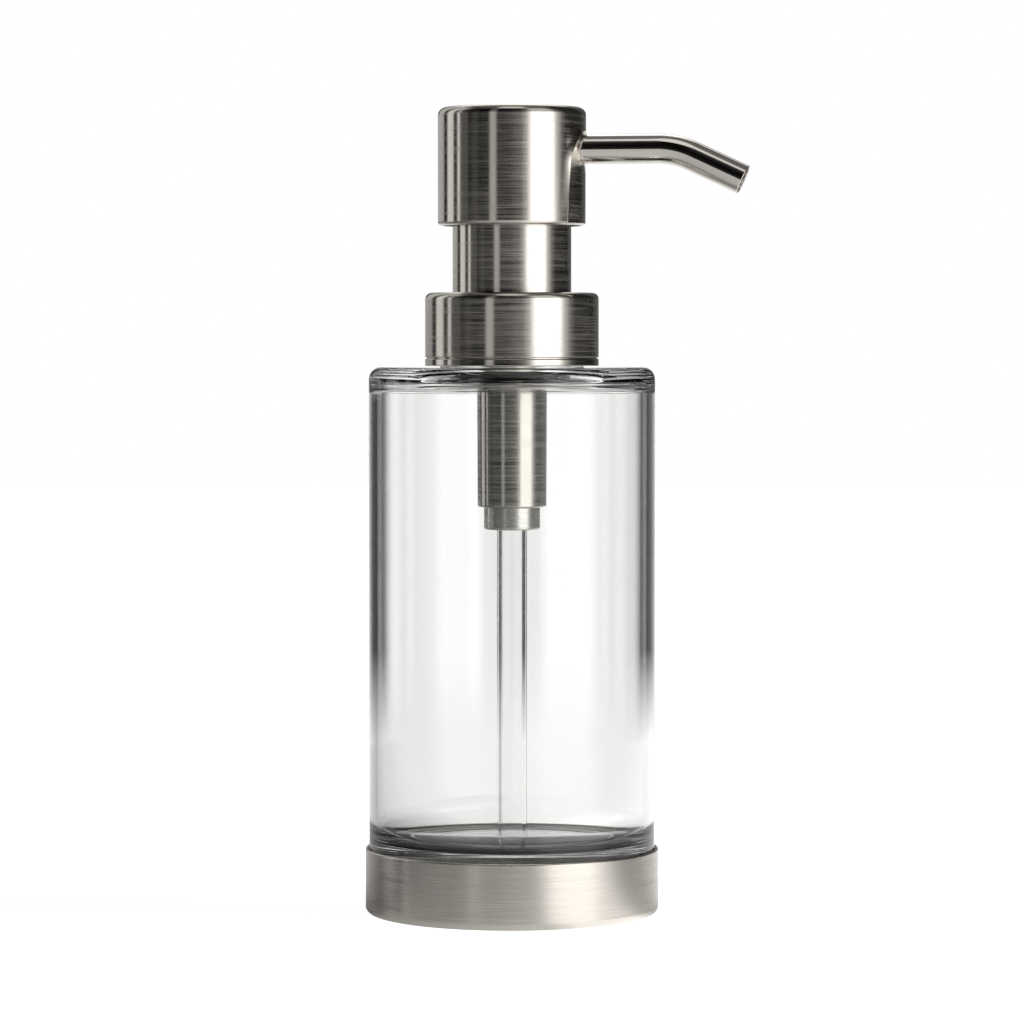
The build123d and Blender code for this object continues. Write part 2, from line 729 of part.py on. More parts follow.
# Moulded actuator: disc, skirt, the post that holds the stem and the boss that holds the spout.
core_radius_outer = head_inner_radius - close_fit
core_skirt_radius = core_radius_outer - core_skirt_wall
core_skirt_bottom = head_lip + 4 * edge_break
disc_bottom = head_ceiling - core_disc
boss_radius = spout_boss_diameter / 2
boss_reach = sleeve_inner_radius - sleeve_lip_width - 2 * loose_fit
outlet_radius = stem_bore_radius - running_fit
bar_bottom = discharge_ball_level + discharge_ball_radius + discharge_ball_lift + running_fit
spout_seal_width = 1.4
spout_seal_radius = spout_radius + 1.0
spout_seal_start = spout_root + 2.6
with BuildPart() as actuator_core:
    revolve(
        lathe(
            (0, post_bottom),
            (post_radius, post_bottom),
            (post_radius, disc_bottom),
            (core_skirt_radius, disc_bottom),
            (core_skirt_radius, core_skirt_bottom),
            (core_radius_outer, core_skirt_bottom),
            (core_radius_outer, head_ceiling),
            (0, head_ceiling),
        )
    )
    fillet(circles_at(actuator_core.part, core_radius_outer, head_ceiling), head_top_round - head_top + close_fit)
    with Locations(Location((0, 0, spout_level), facing_x)):
        Cylinder(boss_radius, boss_reach, align=from_base)
    # Socket for the stem, chamber over the discharge ball and the passage to the spout.
    with Locations((0, 0, post_bottom)):
        Cylinder(stem_radius + ball_gap, stem_socket, align=from_base, mode=Mode.SUBTRACT)
        Cylinder(outlet_radius, spout_level - post_bottom, align=from_base, mode=Mode.SUBTRACT)
    with Locations(Location((0, 0, spout_level), facing_x)):
        Cylinder(spout_bore_radius, 2 * spout_root, align=from_base, mode=Mode.SUBTRACT)
    with Locations(Location((spout_root, 0, spout_level), facing_x)):
        Cylinder(spout_radius + ball_gap, 2 * head_radius, align=from_base, mode=Mode.SUBTRACT)
    with Locations(Location((spout_seal_start, 0, spout_level), facing_x)):
        Cylinder(spout_seal_radius, spout_seal_width, align=from_base, mode=Mode.SUBTRACT)
    # A bar across the chamber stops the ball.
    with Locations((0, 0, bar_bottom)):
        Box(0.8, 2 * stem_radius, 0.8, align=from_base)
actuator_core.part.label = "actuator_core"

# O-ring round the spout's root.
with BuildPart() as spout_seal:
    with Locations(Location((spout_seal_start + running_fit, 0, spout_level), facing_x)):
        seal_width = spout_seal_width - 2 * running_fit
        Cylinder(spout_seal_radius - close_fit, seal_width, align=from_base)
        Cylinder(spout_radius + ball_gap, seal_width, align=from_base, mode=Mode.SUBTRACT)
    fillet(spout_seal.edges().filter_by(GeomType.CIRCLE), edge_break)
spout_seal.part.label = "spout_seal"

# Bent tube: a level run, one bend and a straight run down to a square-cut tip.
drop = radians(spout_angle)
with BuildPart() as spout:
    with BuildLine() as centreline:
        corner = Vector(spout_level_run, 0, spout_level)
        tip = corner + Vector(cos(drop), 0, -sin(drop)) * spout_drop_run
        FilletPolyline((spout_root, 0, spout_level), corner, tip, radius=spout_bend_radius)
    with BuildSketch(Plane.YZ.offset(spout_root)):
        with Locations((0, spout_level)):
            Circle(spout_radius)
            Circle(spout_bore_radius, mode=Mode.SUBTRACT)
    sweep(path=centreline.line)
spout.part.label = "spout"

# --- Files and facts -------------------------------------------------------------------------------

pieces = [
    foot_pad, base_shell, base_core, seat_pad, bottle,
    closure_insert, collar_shell, collar_ring, gasket, neck_sleeve, stem_guide, stem_seal,
    pump_cylinder, foot_valve, dip_tube, suction_ball, ball_cage, ground_spring,
    piston, stem_foot, stem, discharge_ball,
    head_shell, spout_saddle, actuator_core, spout_seal, spout,
]
os.makedirs("parts", exist_ok=True)
for piece in pieces:
    export_step(piece.part, f"parts/{piece.part.label}.step")

bend_run = spout_bend_radius * tan(drop / 2)
print("height", round(head_level, 2), "base diameter", round(2 * base_radius, 2))
print("thread: lift per turn", thread_pitch, "to part the ridges", round(
    bottle_thread_top - insert_thread_bottom + thread_root_width, 2))
print("spout tip", tip, "outlet's straight bore", round(spout_drop_run - bend_run, 3))
print("spring from", round(cage_flange_top, 3), "to", round(foot_flange_bottom, 3))
print("gap under the spout when pressed", round(spout_level - spout_radius - sleeve_top - pump_stroke, 2))
print("lead angle", round(degrees(atan(thread_pitch / (pi * finish_diameter))), 2))
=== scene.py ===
# %% [markdown]
# # A soap pump dispenser
#
# A glass bottle in a low steel base, with a steel lotion pump screwed onto it. The CAD model gives every
# piece its size, place and motion. Here each piece that shows gets its final surface, and every piece gets a
# finish: steel brushed on a lathe, clear glass, moulded plastic, rubber and foam. Read it from top to bottom.

# %% Load the frame
from math import acos, asin, atan2, cos, hypot, pi, radians, sin, sqrt, tan

import bmesh
import bpy
from mathutils import Matrix, Vector


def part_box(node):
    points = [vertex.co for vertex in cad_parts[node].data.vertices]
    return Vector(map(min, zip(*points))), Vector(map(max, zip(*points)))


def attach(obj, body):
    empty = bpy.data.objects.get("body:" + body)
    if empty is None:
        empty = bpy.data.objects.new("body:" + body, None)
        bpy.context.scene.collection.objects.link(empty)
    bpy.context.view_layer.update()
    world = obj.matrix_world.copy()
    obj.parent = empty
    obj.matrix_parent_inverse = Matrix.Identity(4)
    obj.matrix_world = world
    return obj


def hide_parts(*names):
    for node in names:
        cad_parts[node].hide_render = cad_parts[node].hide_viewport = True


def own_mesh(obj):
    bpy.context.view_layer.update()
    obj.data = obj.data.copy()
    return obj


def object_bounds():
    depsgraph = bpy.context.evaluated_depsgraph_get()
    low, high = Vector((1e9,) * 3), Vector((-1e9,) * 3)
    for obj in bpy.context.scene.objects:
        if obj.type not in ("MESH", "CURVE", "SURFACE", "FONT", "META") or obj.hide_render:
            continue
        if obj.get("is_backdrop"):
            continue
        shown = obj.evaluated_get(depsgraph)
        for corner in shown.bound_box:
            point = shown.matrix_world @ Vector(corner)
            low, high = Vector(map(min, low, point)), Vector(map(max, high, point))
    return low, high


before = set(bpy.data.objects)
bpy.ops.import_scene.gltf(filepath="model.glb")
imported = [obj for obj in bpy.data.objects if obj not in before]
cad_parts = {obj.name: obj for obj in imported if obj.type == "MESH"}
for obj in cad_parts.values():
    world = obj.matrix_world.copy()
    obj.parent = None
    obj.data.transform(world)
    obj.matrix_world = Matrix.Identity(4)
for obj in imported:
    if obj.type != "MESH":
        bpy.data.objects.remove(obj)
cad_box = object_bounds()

MM = 0.001
scene = bpy.context.scene

# %% [markdown]
# ## Helpers for turned pieces
#
# Nearly everything here is round: a potter's or lathe operator's shape. Such a piece is half a section,
# drawn once and turned about the axis. The section's corners matter most, because a metal or glass edge is
# never perfectly sharp, and its small radius is what catches the light.

# %% Round the corners of a section
ARC_STEP = radians(9)
# Flat walls get one extra point close to each rounded corner, so that smooth shading doesn't bend the flat.
HOLD_SHARE, HOLD_MOST = 0.2, 0.3


def section(*corners):
    """Points (radius, height) in millimetres; a third number rounds that corner with an arc."""
    points = []
    for i, corner in enumerate(corners):
        r, z = corner[:2]
        if len(corner) == 2:
            points.append((r, z))
            continue
        here = Vector((r, z))
        before = Vector(corners[i - 1][:2]) - here
        after = Vector(corners[(i + 1) % len(corners)][:2]) - here
        half = before.angle(after) / 2
        run = corner[2] / tan(half)
        u, v = before.normalized(), after.normalized()
        centre = here + (u + v).normalized() * corner[2] / sin(half)
        start, end = here + u * run - centre, here + v * run - centre
        turn = start.angle_signed(end)
        steps = max(4, int(abs(turn) / ARC_STEP))
        hold = min(HOLD_SHARE * corner[2], HOLD_MOST)
        if before.length > 2 * (run + hold):
            points.append(tuple(here + u * (run + hold)))
        for k in range(steps + 1):
            arm = start.copy()
            arm.rotate(Matrix.Rotation(-turn * k / steps, 2))
            points.append(tuple(centre + arm))
        if after.length > 2 * (run + hold):
            points.append(tuple(here + v * (run + hold)))
    return points


print("a square with one round corner has", len(section((1, 0), (2, 0, 0.3), (2, 1), (1, 1))), "points")

# %% Turn a section about the axis
SEGMENTS = 256
ON_AXIS = 1e-6


def turned(name, points, closed=True, segments=SEGMENTS):
    """A mesh object made by turning (radius, height) points about Z."""
    bm = bmesh.new()
    rings = []
    for r, z in points:
        if r < ON_AXIS:
            rings.append([bm.verts.new((0, 0, z * MM))] * segments)
        else:
            step = 2 * pi / segments
            rings.append([bm.verts.new((r * cos(k * step) * MM, r * sin(k * step) * MM, z * MM))
                          for k in range(segments)])
    pairs = list(zip(rings, rings[1:] + rings[:1])) if closed else list(zip(rings, rings[1:]))
    for low, high in pairs:
        for k in range(segments):
            j = (k + 1) % segments
            corners = [low[k], low[j], high[j], high[k]]
            corners = [c for n, c in enumerate(corners) if c not in corners[:n]]
            if len(corners) > 2:
                bm.faces.new(corners)
    return made(name, bm)


def made(name, bm):
    """A linked object from a bmesh, with its faces turned outwards."""
    bmesh.ops.recalc_face_normals(bm, faces=bm.faces)
    mesh = bpy.data.meshes.new(name)
    bm.to_mesh(mesh)
    bm.free()
    piece = bpy.data.objects.new(name, mesh)
    scene.collection.objects.link(piece)
    return piece


def bar(bm, rings):
    """Faces between rings of points that follow each other, and one over each end."""
    count = len(rings[0])
    for one, two in zip(rings, rings[1:]):
        for k in range(count):
            j = (k + 1) % count
            bm.faces.new((one[k], one[j], two[j], two[k]))
    bm.faces.new(rings[0])
    bm.faces.new(rings[-1])


# %% Where a piece of the CAD model is
def span(node):
    """Its outer radius, bottom and top, in millimetres."""
    low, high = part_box(node)
    return high.y / MM, low.z / MM, high.z / MM


# %% Finish a piece: smooth shading, material and body
def settle(piece, body, material, slot, *stands_for, crease=32):
    """Give a piece its shading and finish, tie it to its body and hide what it stands for."""
    piece.data.materials.clear()
    piece.data.materials.append(material)
    piece.data.shade_smooth()
    piece.data.set_sharp_from_angle(angle=radians(crease))
    weighted = piece.modifiers.new("weighted_normals", "WEIGHTED_NORMAL")
    weighted.keep_sharp = True
    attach(piece, body)
    if stands_for:
        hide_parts(*stands_for)
    print(f"{piece.name}: {len(piece.data.vertices)} points, rides on {body}")
    return piece


# %% [markdown]
# ## Finishes
#
# Four effects turn up on more than one finish, so each is a node group with its own inputs: where a point
# lies on a turned piece, the fine scratches of brushing, the faint marks of handling, and the grain that a
# mould leaves on plastic and rubber. The groups only give numbers. Each material keeps its own shader.

# %% Node helpers
FLOAT, VECTOR = "NodeSocketFloat", "NodeSocketVector"


def new_group(name, inputs, outputs):
    """An empty node group with float or vector sockets, and its input and output nodes."""
    group = bpy.data.node_groups.new(name, "ShaderNodeTree")
    for label, kind, value in inputs:
        socket = group.interface.new_socket(name=label, in_out="INPUT", socket_type=kind)
        if kind == FLOAT:
            socket.default_value = value
    for label, kind in outputs:
        group.interface.new_socket(name=label, in_out="OUTPUT", socket_type=kind)
    return group, group.nodes.new("NodeGroupInput"), group.nodes.new("NodeGroupOutput")


def put(tree, kind, group=None, **values):
    """Add a node and set its named inputs; a value that is a socket is linked instead."""
    node = tree.nodes.new(kind)
    if group:
        node.node_tree = group
    for label, value in values.items():
        label = int(label[1:]) if label[0] == "_" and label[1:].isdigit() else label.replace("_", " ")
        if isinstance(value, bpy.types.NodeSocket):
            tree.links.new(value, node.inputs[label])
        else:
            node.inputs[label].default_value = value
    return node


def maths(tree, operation, first, second=None):
    """The output of a Math node on one or two numbers or sockets."""
    node = tree.nodes.new("ShaderNodeMath")
    node.operation = operation
    for socket, value in zip(node.inputs, (first, second)):
        if isinstance(value, bpy.types.NodeSocket):
            tree.links.new(value, socket)
        elif value is not None:
            socket.default_value = value
    return node.outputs[0]


def new_material(name):
    """A material with nodes, its node tree and its shader."""
    material = bpy.data.materials.new(name)
    material.use_nodes = True
    return material, material.node_tree, material.node_tree.nodes["Principled BSDF"]


def effect(tree, group, **values):
    """One of the node groups below, placed in a material with its own values."""
    return put(tree, "ShaderNodeGroup", group, **values)


def ramped(tree, value, start, end, before=0.0, after=1.0):
    """A Map Range node's output: one number up to start, another from end on, and even steps between."""
    node = put(tree, "ShaderNodeMapRange", Value=value)
    node.inputs["From Min"].default_value = start
    node.inputs["From Max"].default_value = end
    node.inputs["To Min"].default_value = before
    node.inputs["To Max"].default_value = after
    return node.outputs["Result"]


# %% Where a point lies on a turned piece
# Height plus radius runs down a wall and then inwards over a flat top, without a seam at the corner. Lines
# drawn at equal steps of it are the circles that a lathe leaves.
turned_place, tp_in, tp_out = new_group(
    "turned_place", [], [("Across", FLOAT), ("Around", VECTOR)])
where = turned_place.nodes.new("ShaderNodeTexCoord")
parts = put(turned_place, "ShaderNodeSeparateXYZ", Vector=where.outputs["Object"])
square = maths(turned_place, "ADD",
               maths(turned_place, "MULTIPLY", parts.outputs["X"], parts.outputs["X"]),
               maths(turned_place, "MULTIPLY", parts.outputs["Y"], parts.outputs["Y"]))
across = maths(turned_place, "ADD", parts.outputs["Z"], maths(turned_place, "SQRT", square))
turned_place.links.new(across, tp_out.inputs["Across"])
turned_place.links.new(where.outputs["Object"], tp_out.inputs["Around"])
print("group:", turned_place.name)

# %% Brushing
# Abrasive cloth held against a turning piece cuts long, very fine lines. Noise that changes fast across the
# lines and slowly along them gives both the lines and their slow fading in and out.
brushing, br_in, br_out = new_group(
    "brushing",
    [("Across", FLOAT, 0.0), ("Around", VECTOR, None),
     ("Lines per metre", FLOAT, 2400.0), ("Length", FLOAT, 60.0),
     ("Unevenness", FLOAT, 0.5)],
    [("Tone", FLOAT), ("Roughness", FLOAT), ("Height", FLOAT)])


BROAD_DENSITY = 0.3
FINE_SHARE, BROAD_SHARE = 0.65, 0.35
TONE_GAIN = 3.0


def streaks(tree, across, around, density, length):
    """Noise drawn out along the lines: its value at each point."""
    run = put(tree, "ShaderNodeSeparateXYZ", Vector=around)
    spot = put(tree, "ShaderNodeCombineXYZ",
               X=maths(tree, "MULTIPLY", run.outputs["X"], length),
               Y=maths(tree, "MULTIPLY", run.outputs["Y"], length),
               Z=maths(tree, "MULTIPLY", across, density))
    noise = put(tree, "ShaderNodeTexNoise", Vector=spot.outputs[0], Scale=1.0, Detail=2.0, Roughness=0.6)
    return noise.outputs[0]


fine = streaks(brushing, br_in.outputs["Across"], br_in.outputs["Around"],
               br_in.outputs["Lines per metre"], br_in.outputs["Length"])
broad_lines = maths(brushing, "MULTIPLY", br_in.outputs["Lines per metre"], BROAD_DENSITY)
broad = streaks(brushing, br_in.outputs["Across"], br_in.outputs["Around"], broad_lines,
                br_in.outputs["Length"])
lines = maths(brushing, "ADD",
              maths(brushing, "MULTIPLY", fine, FINE_SHARE),
              maths(brushing, "MULTIPLY", broad, BROAD_SHARE))
spread = maths(brushing, "MULTIPLY", maths(brushing, "SUBTRACT", lines, 0.5), br_in.outputs["Unevenness"])
tone = maths(brushing, "ADD", 0.5, maths(brushing, "MULTIPLY", spread, TONE_GAIN))
brushing.links.new(tone, br_out.inputs["Tone"])
brushing.links.new(spread, br_out.inputs["Roughness"])
brushing.links.new(fine, br_out.inputs["Height"])
print("group:", brushing.name)

# %% Handling marks
# Fingers and cloths leave soft patches that are a little duller than the rest.
PATCH_EDGE = 0.48, 0.72
handling, ha_in, ha_out = new_group(
    "handling_marks",
    [("Size", FLOAT, 40.0), ("Amount", FLOAT, 0.05)],
    [("Mask", FLOAT), ("Roughness", FLOAT)])
spot = handling.nodes.new("ShaderNodeTexCoord")
patches = put(handling, "ShaderNodeTexNoise", Vector=spot.outputs["Object"], Scale=ha_in.outputs["Size"],
              Detail=4.0, Roughness=0.55, Distortion=0.6)
mask = handling.nodes.new("ShaderNodeMapRange")
mask.interpolation_type = "SMOOTHSTEP"
mask.inputs["From Min"].default_value, mask.inputs["From Max"].default_value = PATCH_EDGE
handling.links.new(patches.outputs[0], mask.inputs["Value"])
handling.links.new(mask.outputs["Result"], ha_out.inputs["Mask"])
handling.links.new(maths(handling, "MULTIPLY", mask.outputs["Result"], ha_in.outputs["Amount"]),
                   ha_out.inputs["Roughness"])
print("group:", handling.name)

# %% Moulded grain
# A mould's etched wall prints a shallow pebbled grain, and the melt leaves slow changes of tone.
grain, gr_in, gr_out = new_group(
    "moulded_grain",
    [("Grain", FLOAT, 2500.0), ("Tone range", FLOAT, 0.1)],
    [("Tone", FLOAT), ("Height", FLOAT)])
spot = grain.nodes.new("ShaderNodeTexCoord")
pebbles = put(grain, "ShaderNodeTexVoronoi", Vector=spot.outputs["Object"], Scale=gr_in.outputs["Grain"])
clouds = put(grain, "ShaderNodeTexNoise", Vector=spot.outputs["Object"], Scale=120.0, Detail=3.0)
off_middle = maths(grain, "SUBTRACT", clouds.outputs[0], 0.5)
swing = maths(grain, "MULTIPLY", off_middle, gr_in.outputs["Tone range"])
grain.links.new(maths(grain, "ADD", 0.5, swing), gr_out.inputs["Tone"])
grain.links.new(pebbles.outputs["Distance"], gr_out.inputs["Height"])
print("group:", grain.name)

# %% [markdown]
# ### Steel
#
# Brushed steel is not just rough. Its grooves run one way, so a reflection stays sharp along them and smears
# across them. The anisotropic setting does that: the grooves run round the axis and light smears up and down.


# %% A steel made to order
ALONG_GROOVES = 0.25
SCRATCH_DEPTH = 0.1 * MM


def steel(name, dark, light, roughness, lines=3400.0, length=50.0, unevenness=0.6, smear=0.0, bump=0.02,
          marks=0.03):
    """A metal whose brushing runs round the Z axis."""
    material, tree, shader = new_material(name)
    shader.inputs["Metallic"].default_value = 1.0
    place = effect(tree, turned_place)
    cut = effect(tree, brushing, Across=place.outputs["Across"], Around=place.outputs["Around"],
                 Lines_per_metre=lines, Length=length, Unevenness=unevenness)
    touch = effect(tree, handling, Amount=marks)
    colour = put(tree, "ShaderNodeMixRGB", Fac=cut.outputs["Tone"], Color1=(*dark, 1), Color2=(*light, 1))
    tree.links.new(colour.outputs[0], shader.inputs["Base Color"])
    dull = maths(tree, "ADD", maths(tree, "ADD", cut.outputs["Roughness"], roughness),
                 touch.outputs["Roughness"])
    tree.links.new(dull, shader.inputs["Roughness"])
    relief = put(tree, "ShaderNodeBump", Height=cut.outputs["Height"], Strength=bump, Distance=SCRATCH_DEPTH)
    tree.links.new(relief.outputs[0], shader.inputs["Normal"])
    if smear:
        shader.inputs["Anisotropic"].default_value = smear
        shader.inputs["Anisotropic Rotation"].default_value = ALONG_GROOVES
        grooves = tree.nodes.new("ShaderNodeTangent")
        grooves.direction_type = "RADIAL"
        grooves.axis = "Z"
        tree.links.new(grooves.outputs[0], shader.inputs["Tangent"])
    return material


brushed_steel = steel("brushed_steel", (0.50, 0.475, 0.435), (0.70, 0.665, 0.61), 0.17,
                      unevenness=0.55, smear=0.85, bump=0.08)
base_steel = steel("base_steel", (0.58, 0.55, 0.505), (0.68, 0.645, 0.595), 0.26,
                   unevenness=0.6, smear=0.8, bump=0.08)
spout_steel = steel("spout_steel", (0.70, 0.665, 0.625), (0.75, 0.715, 0.67), 0.10,
                    lines=4000.0, unevenness=0.10, bump=0.01)
# The spout's bore is the same steel with painted shade: a near-black colour stands in for the shade inside
# the tube.
bore_painted_shade = steel("bore_painted_shade", (0.10, 0.095, 0.09), (0.14, 0.133, 0.125), 0.5,
                   unevenness=0.2, bump=0.01)
saddle_steel = steel("saddle_steel", (0.50, 0.475, 0.44), (0.64, 0.61, 0.56), 0.19,
                     unevenness=0.5, smear=0.7, bump=0.05)
cylinder_steel = steel("cylinder_steel", (0.46, 0.44, 0.405), (0.64, 0.61, 0.565), 0.17,
                       unevenness=0.5, smear=0.8, bump=0.06)
valve_steel = steel("valve_steel", (0.62, 0.60, 0.57), (0.70, 0.68, 0.645), 0.27,
                    unevenness=0.4, smear=0.6)
bright_steel = steel("bright_steel", (0.74, 0.74, 0.74), (0.80, 0.80, 0.80), 0.10,
                     lines=1500.0, unevenness=0.1, bump=0.01)
print("steels ready")

# %% [markdown]
# ### Glass and clear plastic
#
# Clear pieces are solid bodies with a real wall, so light bends at the outside and the inside surfaces.
# Pressed glass is faintly wavy, which a very shallow bump gives, and a touch of green shows in its edges.


# %% Clear materials
TOUCHED_TINT = 0.985
WAVE_DEPTH = 1.0 * MM


def clear(name, colour, ior, roughness, wave_size, wave):
    """A see-through material with a faint waviness and handling marks."""
    material, tree, shader = new_material(name)
    shader.inputs["Transmission Weight"].default_value = 1.0
    shader.inputs["IOR"].default_value = ior
    touch = effect(tree, handling, Amount=roughness)
    tree.links.new(touch.outputs["Roughness"], shader.inputs["Roughness"])
    tint = put(tree, "ShaderNodeMixRGB", Fac=touch.outputs["Mask"], Color1=(*colour, 1),
               Color2=(*[TOUCHED_TINT * c for c in colour], 1))
    tree.links.new(tint.outputs[0], shader.inputs["Base Color"])
    spot = tree.nodes.new("ShaderNodeTexCoord")
    waves = put(tree, "ShaderNodeTexNoise", Vector=spot.outputs["Object"], Scale=wave_size, Detail=1.0)
    relief = put(tree, "ShaderNodeBump", Height=waves.outputs[0], Strength=wave, Distance=WAVE_DEPTH)
    tree.links.new(relief.outputs[0], shader.inputs["Normal"])
    return material


# The dip tube is set to bend light less than its real plastic does, so that its thin wall shows as two fine
# grey lines with a clear middle.
clear_glass = clear("clear_glass", (0.975, 0.985, 0.98), ior=1.5, roughness=0.006, wave_size=28.0, wave=0.004)
clear_plastic = clear("clear_plastic", (0.985, 0.985, 0.985), ior=1.25, roughness=0.03, wave_size=60.0,
                      wave=0.004)
print("clear materials ready")


# %% Moulded plastic, rubber and foam
HANDLED = 0.08
DARKER, LIGHTER = 0.8, 1.2
PEBBLE_DEPTH = 0.05 * MM


def moulded(name, colour, roughness, grain_size=2500.0, bump=0.15, tone_range=0.2, sheen=0.0):
    """An opaque moulded material with a pebbled grain and slow changes of tone."""
    material, tree, shader = new_material(name)
    skin = effect(tree, grain, Grain=grain_size, Tone_range=tone_range)
    touch = effect(tree, handling, Amount=HANDLED)
    tint = put(tree, "ShaderNodeMixRGB", Fac=skin.outputs["Tone"],
               Color1=(*[DARKER * c for c in colour], 1),
               Color2=(*[min(1.0, LIGHTER * c) for c in colour], 1))
    tree.links.new(tint.outputs[0], shader.inputs["Base Color"])
    tree.links.new(maths(tree, "ADD", touch.outputs["Roughness"], roughness), shader.inputs["Roughness"])
    relief = put(tree, "ShaderNodeBump", Height=skin.outputs["Height"], Strength=bump, Distance=PEBBLE_DEPTH)
    tree.links.new(relief.outputs[0], shader.inputs["Normal"])
    shader.inputs["Sheen Weight"].default_value = sheen
    return material


white_plastic = moulded("white_plastic", (0.80, 0.80, 0.78), 0.38)
black_plastic = moulded("black_plastic", (0.030, 0.030, 0.033), 0.42)
silicone = moulded("silicone", (0.045, 0.047, 0.05), 0.62, grain_size=1800.0, bump=0.25)
foam = moulded("foam", (0.05, 0.055, 0.05), 0.85, grain_size=900.0, bump=0.6, tone_range=0.5, sheen=0.2)
print("moulded materials ready")

# %% [markdown]
# ## The bottle
#
# The glass is one turned piece with its thick floor, thin wall, heavy shoulder and neck. The shoulder's
# underside rises a little from the wall to the neck. The neck's thread is a ridge that winds up it once and a
# quarter, joined on with a boolean so that the glass stays one closed body.

# %% Bottle sizes, in millimetres
glass_radius, glass_bottom, land = span("bottle")
neck_height = 10.2
glass_wall, floor_thickness, shoulder_thickness = 2.1, 5.7, 3.8
shoulder = land - neck_height
inner_wall = glass_radius - glass_wall
inner_floor = glass_bottom + floor_thickness
inner_ceiling = shoulder - shoulder_thickness
ceiling_rise = 0.8
neck_radius, neck_bore = 17.5, 15.25
hollow_radius, foot_radius, hollow_depth = 25.2, 26.0, 0.8
print(f"glass {2 * glass_radius:.1f} wide, floor at {inner_floor:.1f}, shoulder at {shoulder:.1f}")

# %% Turn the glass
# The foot is hollowed a little in the middle, so that the bottle stands on a ring.
bottle_glass = turned("bottle_glass", section(
    (0, glass_bottom + hollow_depth),
    (hollow_radius, glass_bottom + hollow_depth, 1.0),
    (foot_radius, glass_bottom, 0.5),
    (glass_radius, glass_bottom, 3.0),
    (glass_radius, shoulder, 3.0),
    (neck_radius, shoulder, 0.6),
    (neck_radius, land, 0.6),
    (neck_bore, land, 0.6),
    (neck_bore, inner_ceiling + ceiling_rise, 1.2),
    (inner_wall, inner_ceiling, 2.5),
    (inner_wall, inner_floor, 5.0),
    (0, inner_floor)), closed=False, segments=320)


# %% Wind the thread
thread_crest, thread_pitch, thread_turns = 18.6, 4.233, 1.25
thread_start = land - 7.64
ridge_foot, ridge_top = 1.2, 0.6
STEPS_A_TURN = 72


def thread_ridge(name, root, crest, start, turns, pitch, sunk=0.25):
    """A closed ridge that winds up round the axis and fades out at both ends."""
    bm = bmesh.new()
    steps = int(STEPS_A_TURN * turns)
    rings = []
    for k in range(steps + 1):
        angle = 2 * pi * turns * k / steps
        fade = min(1.0, 6.0 * min(k, steps - k) / steps)
        top = root + (crest - root) * sqrt(fade)
        middle = start + pitch * angle / (2 * pi)
        profile = ((root - sunk, -ridge_foot), (top, -ridge_top), (top, ridge_top), (root - sunk, ridge_foot))
        rings.append([bm.verts.new((r * cos(angle) * MM, r * sin(angle) * MM, (middle + h) * MM))
                      for r, h in profile])
    bar(bm, rings)
    return made(name, bm)


ridge = thread_ridge("ridge", neck_radius, thread_crest, thread_start, thread_turns, thread_pitch)
join = bottle_glass.modifiers.new("thread", "BOOLEAN")
join.operation = "UNION"
join.solver = "EXACT"
join.object = ridge
bpy.context.view_layer.update()
whole = bpy.data.meshes.new_from_object(bottle_glass.evaluated_get(bpy.context.evaluated_depsgraph_get()))
bottle_glass.modifiers.clear()
bottle_glass.data = whole
bpy.data.objects.remove(ridge)
settle(bottle_glass, "bottle", clear_glass, "clear_glass", "bottle")

# %% [markdown]
# ## The base
#
# A drawn steel skin with a turned-in bottom, a moulded core inside it, a dark foam disc that the glass stands
# on, and a rubber pad underneath. The skin's rim is rounded, which gives the thin light line there.

# %% Base skin
skin_radius, skin_bottom, skin_top = span("base_shell")
skin_wall, turned_in = 0.7, 4.0
base_skin = turned("base_skin", section(
    (skin_radius - turned_in, skin_bottom, 0.15),
    (skin_radius, skin_bottom, 1.8),
    (skin_radius, skin_top, 0.4),
    (skin_radius - skin_wall, skin_top, 0.2),
    (skin_radius - skin_wall, skin_bottom + skin_wall, 1.1),
    (skin_radius - turned_in, skin_bottom + skin_wall, 0.15)))
settle(base_skin, "bottle", base_steel, "brushed_steel", "base_shell")

# %% Foam disc under the glass
foam_radius, foam_bottom, foam_top = span("seat_pad")
foam_disc = turned("foam_disc", section(
    (0, foam_bottom),
    (foam_radius, foam_bottom, 0.2),
    (foam_radius, foam_top, 0.3),
    (0, foam_top)), closed=False, segments=128)
settle(foam_disc, "bottle", foam, "foam", "seat_pad")

# %% [markdown]
# ## The closure and the neck
#
# The collar is a drawn cup with a hole in its top. A separate ring sits under it behind a fine groove, and
# the fixed sleeve rises out of it. All three are thin walls, so they are turned with both sides.

# %% Collar
collar_radius, collar_bottom, collar_top = span("collar_shell")
sleeve_radius = 14.75
collar_wall, collar_roof = 0.6, 0.8
collar_hole = sleeve_radius + 0.1
collar_cup = turned("collar_cup", section(
    (collar_radius - collar_wall, collar_bottom, 0.1),
    (collar_radius, collar_bottom, 0.25),
    (collar_radius, collar_top, 1.6),
    (collar_hole, collar_top, 0.25),
    (collar_hole, collar_top - collar_roof, 0.1),
    (collar_radius - collar_wall, collar_top - collar_roof, 1.0)))
settle(collar_cup, "collar", brushed_steel, "brushed_steel", "collar_shell")

# %% Ring under the collar
ring_radius, ring_bottom, ring_top = span("collar_ring")
ring_bore, groove_radius, spigot_radius = 19.65, 21.25, 20.95
groove_bottom, groove_top = ring_top - 2.0, ring_top - 1.75
trim_ring = turned("trim_ring", section(
    (ring_bore, ring_bottom, 0.1),
    (ring_radius, ring_bottom, 0.3),
    (ring_radius, groove_bottom, 0.3),
    (groove_radius, groove_bottom, 0.05),
    (groove_radius, groove_top, 0.05),
    (spigot_radius, groove_top),
    (spigot_radius, ring_top, 0.1),
    (ring_bore, ring_top, 0.1)))
settle(trim_ring, "collar", brushed_steel, "brushed_steel", "collar_ring")

